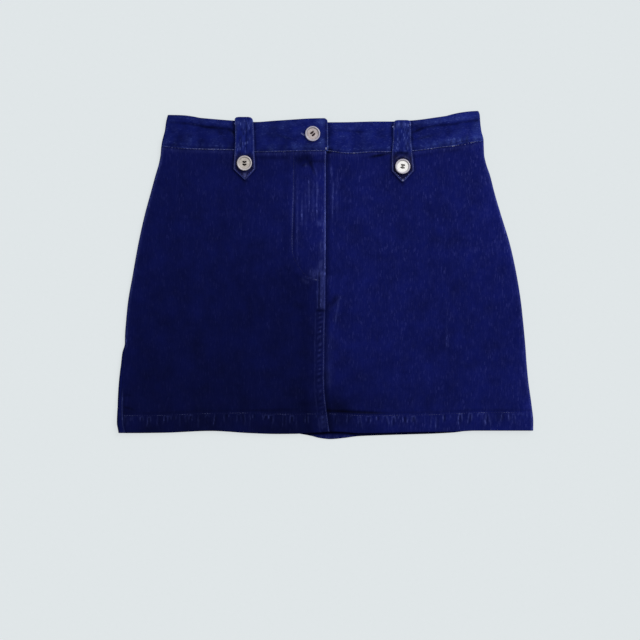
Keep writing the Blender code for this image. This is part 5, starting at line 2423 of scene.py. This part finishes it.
@dataclass(frozen=True)
class Studio:
    """A light table, soft even light with a broad lamp, and the camera; sizes are in metres."""

    view_width: float = 0.8
    view_middle: tuple[float, float] = (-0.00634, -0.0562)
    distance: float = 6.0
    sensor: float = 36.0
    floor_size: float = 40.0
    floor_gap: float = 0.0004
    sky: float = 0.52
    lamp: float = 2.25
    lamp_softness: float = 35.0
    lamp_tilt: float = 48.0
    lamp_turn: float = 128.0

    def floor(self, finish: Material) -> None:
        """A plain square floor just under the cloth.

        Args:
            finish: Its material.
        """
        corners = np.array([(-1, -1), (1, -1), (1, 1), (-1, 1)]) * self.floor_size / 2
        points = np.column_stack([corners, np.full(4, -self.floor_gap)])
        mesh = bpy.data.meshes.new("floor")
        mesh.from_pydata(points.tolist(), [], [(0, 1, 2, 3)])
        place_piece("floor", mesh, finish)

    def light(self) -> None:
        """Even light from all round, and one broad soft lamp."""
        scene = bpy.context.scene
        world = bpy.data.worlds.new("studio")
        world.use_nodes = True
        sky = next(node for node in world.node_tree.nodes if node.type == "BACKGROUND")
        sky.inputs["Color"].default_value = linear("ffffff")
        sky.inputs["Strength"].default_value = self.sky
        scene.world = world
        scene.view_settings.view_transform = "Standard"
        lamp = bpy.data.lights.new("softbox", "SUN")
        lamp.energy = self.lamp
        lamp.angle = math.radians(self.lamp_softness)
        made = bpy.data.objects.new("softbox", lamp)
        made.rotation_euler = (math.radians(self.lamp_tilt), 0, math.radians(self.lamp_turn))
        scene.collection.objects.link(made)

    def camera(self) -> None:
        """A long lens straight above, whose square view is as wide as the photograph's."""
        data = bpy.data.cameras.new("camera")
        data.sensor_width = self.sensor
        data.lens = self.sensor * self.distance / self.view_width
        data.clip_end = 60
        made = bpy.data.objects.new("camera", data)
        made.location = (*self.view_middle, self.distance)
        bpy.context.scene.collection.objects.link(made)
        bpy.context.scene.camera = made


# The skirt


def dress(piece: Piece, node: str | None = None) -> Piece:
    """Rides a piece on the part's body, hides the CAD node that it stands for and reports it.

    Args:
        piece: The piece.
        node: The CAD node that it stands for, if it does.

    Returns:
        The same piece.
    """
    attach(piece, BODY)
    if node:
        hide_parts(node)
    faces = sum(len(p.vertices) - 2 for p in piece.data.polygons)
    LOG.info("%s: %d triangles", piece.name, faces)
    return piece


# y, x of the middle and width of each tab, from its fold to its corners and its tip
LEFT_TAB: Table = (
    (197.3, -104.4, 22.2), (190, -103.2, 23.2), (170, -102.6, 24), (155, -102.8, 24.8),
    (132, -102.9, 27), (119.4, -102, 2.4),
)
RIGHT_TAB: Table = (
    (193.4, 94.4, 21.4), (186, 94, 22.2), (170, 93.9, 23.2), (152.4, 94.1, 25.8), (130, 95, 27.6),
    (116.6, 95.1, 2.4),
)
# Rubbed patches and hollows of the tabs, like the creases', with x from their middle line
LEFT_TAB_MARKS: Table = (
    (-1.6, 180, 15, 1.4, 90, 0.15, 0.12, 0),
    (2.2, 174, 20, 1.1, 90, -0.2, 0, 0.42),
    (-4.6, 166, 9, 1, 92, -0.1, 0, 0.3),
    (-7, 158.6, 4, 1.8, 100, 0.1, 0.22, 0),
    (-6, 166, 8, 2.6, 90, -0.1, 0, 0.22),
    (1.4, 164.6, 3.6, 1.2, 28, 0.1, 0.2, 0),
    (6.4, 168, 8, 1.6, 85, 0.1, 0.1, 0),
    (5, 184, 5, 2, 60, 0.1, 0.12, 0),
    (-8, 187, 5, 1.6, 80, 0.1, 0.16, 0),
    (0, 124.6, 2.6, 1.6, 90, 0.1, 0.8, 0),
    (0, 190, 11, 4, 0, 0, 0.14, 0),
)
RIGHT_TAB_MARKS: Table = (
    (-1, 187, 8.5, 3.2, 4, 0.1, 0.34, 0),
    (3, 178, 9, 1.2, 88, 0.1, 0.16, 0),
    (6.5, 163, 6, 2.4, 90, 0.1, 0.22, 0),
    (6.8, 181, 6, 3, 90, 0.1, 0.16, 0),
    (-4.6, 168, 12, 1.2, 91, 0.1, 0.14, 0),
    (-7.4, 160, 6, 1.6, 90, 0.1, 0.12, 0),
    (0, 152.4, 10, 1.8, 0, -0.2, 0, 0.75),
    (-5, 147.2, 4, 0.8, 35, 0.1, 0.24, 0),
    (4.4, 147, 5, 0.8, -25, 0.1, 0.24, 0),
    (10, 141, 5, 0.8, -62, 0.1, 0.2, 0),
    (0.2, 118.2, 1.1, 1, 90, 0.1, 0.8, 0),
)


def main() -> None:
    """Builds the skirt's pieces in order, lights them and logs each one's triangles."""
    logging.basicConfig(level=logging.INFO, format="%(name)s: %(message)s")
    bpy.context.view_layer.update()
    studio = Studio()
    studio.camera()
    studio.light()
    studio.floor(FloorFinish().build())

    pattern = Pattern()
    denim = DenimFinish("indigo_denim_twill").build()
    band_denim = DenimFinish(
        "indigo_denim_twill_handled",
        indigo="0f185f",
        fleck="505aa4",
        worn="4659a0",
        grains=((1.5, 2.4, 0.45), (1.5, 6, 0.2), (6, 8, 0.35)),
        slub=(1.25, 2),
        bright=0.35,
    ).build()
    tab_denim = DenimFinish(
        "indigo_denim_twill_soiled",
        indigo="0f195f",
        fleck="4654a4",
        worn="4c5a9c",
        slub=(1.2, 3.4),
        speck=0.5,
        bright=1,
        dull=0.6,
    ).build()
    thread = ThreadFinish("polyester_thread_slate", "6a72a8", "0c1038").build()
    brown_thread = ThreadFinish("polyester_thread_dark_brown", "2c1c18", "140c0c").build()
    maroon_thread = ThreadFinish("polyester_thread_maroon", "4a2a30", "2a161c").build()
    grey_thread = ThreadFinish("polyester_thread_grey", "9c9896", "6c6967").build()
    pearl = ButtonFinish("pearl_polyester_button", "bfb8b2", "a79f98", "bcb6b9").build()
    rosy_pearl = ButtonFinish("rosy_pearl_polyester_button", "bcb0b1", "a19696", "b0acbc").build()
    # The right button's dish is painted near white: a painted highlight where a lamp is reflected in
    # it
    painted_highlight_pearl = ButtonFinish("pale_pearl_polyester_button", "faf8f7", "f1efed", "bcb8c5").build()

    tabs = (
        Tab(
            "tab_left", Side.LEFT, LEFT_TAB, (-102.8, 139.6), pattern, LEFT_TAB_MARKS,
            pale=0.42, tacks=(0.4, 0, 0), soil=0.7, soil_reach=14, shaded=0.34,
        ),
        Tab(
            "tab_right", Side.RIGHT, RIGHT_TAB, (94.9, 135.5), pattern, RIGHT_TAB_MARKS,
            pale=0.46, tacks=(1.05, 1.1, 1.5), soil=0.82, soil_reach=18, shaded=0.16,
        ),
    )
    panels = Panels(pattern, tabs)
    left, right = (
        dress(panels.front(side, f"denim_{node}", denim), node)
        for side, node in ((Side.LEFT, "front_left"), (Side.RIGHT, "front_right"))
    )
    back = dress(panels.back(denim), "back_panel")
    left_rows, right_rows, back_rows = (dress(s) for s in panels.stitches(thread))
    waist = Waistband(pattern, tabs)
    band = dress(waist.band(band_denim), "waistband")
    band_rows = [dress(s(thread)) for s in (waist.stitches, waist.buttonhole)]
    for piece, flat, area, under, rows in (
        (left, (0.268, 0.383), 0.092, [right.name, back.name], [left_rows]),
        (right, (0.292, 0.383), 0.096, [back.name], [right_rows]),
        (back, (0.524, 0.383), 0.178, ["floor"], [back_rows]),
        (band, (0.83, 0.038), None, ["floor"], band_rows),
    ):
        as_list(under)
        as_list(rows)
    for tab, front in zip(tabs, (left, right)):
        piece = dress(tab.build(tab_denim), tab.name)
        rows = dress(tab.stitches(thread))
        under = [band.name, front.name]
        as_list(under)

    for name, turn, way, sag, finish, sewn in (
        ("button_waist", 38, ThreadWay.BARS, 0.2, rosy_pearl, maroon_thread),
        ("button_tab_left", 0, ThreadWay.BARS, 0.5, pearl, brown_thread),
        ("button_tab_right", -8, ThreadWay.ZED, 0, painted_highlight_pearl, grey_thread),
    ):
        button = Button(name, turn, way, sag)
        dress(button.build(finish), name)
        dress(button.sewn(sewn))


if __name__ == "__main__":
    main()
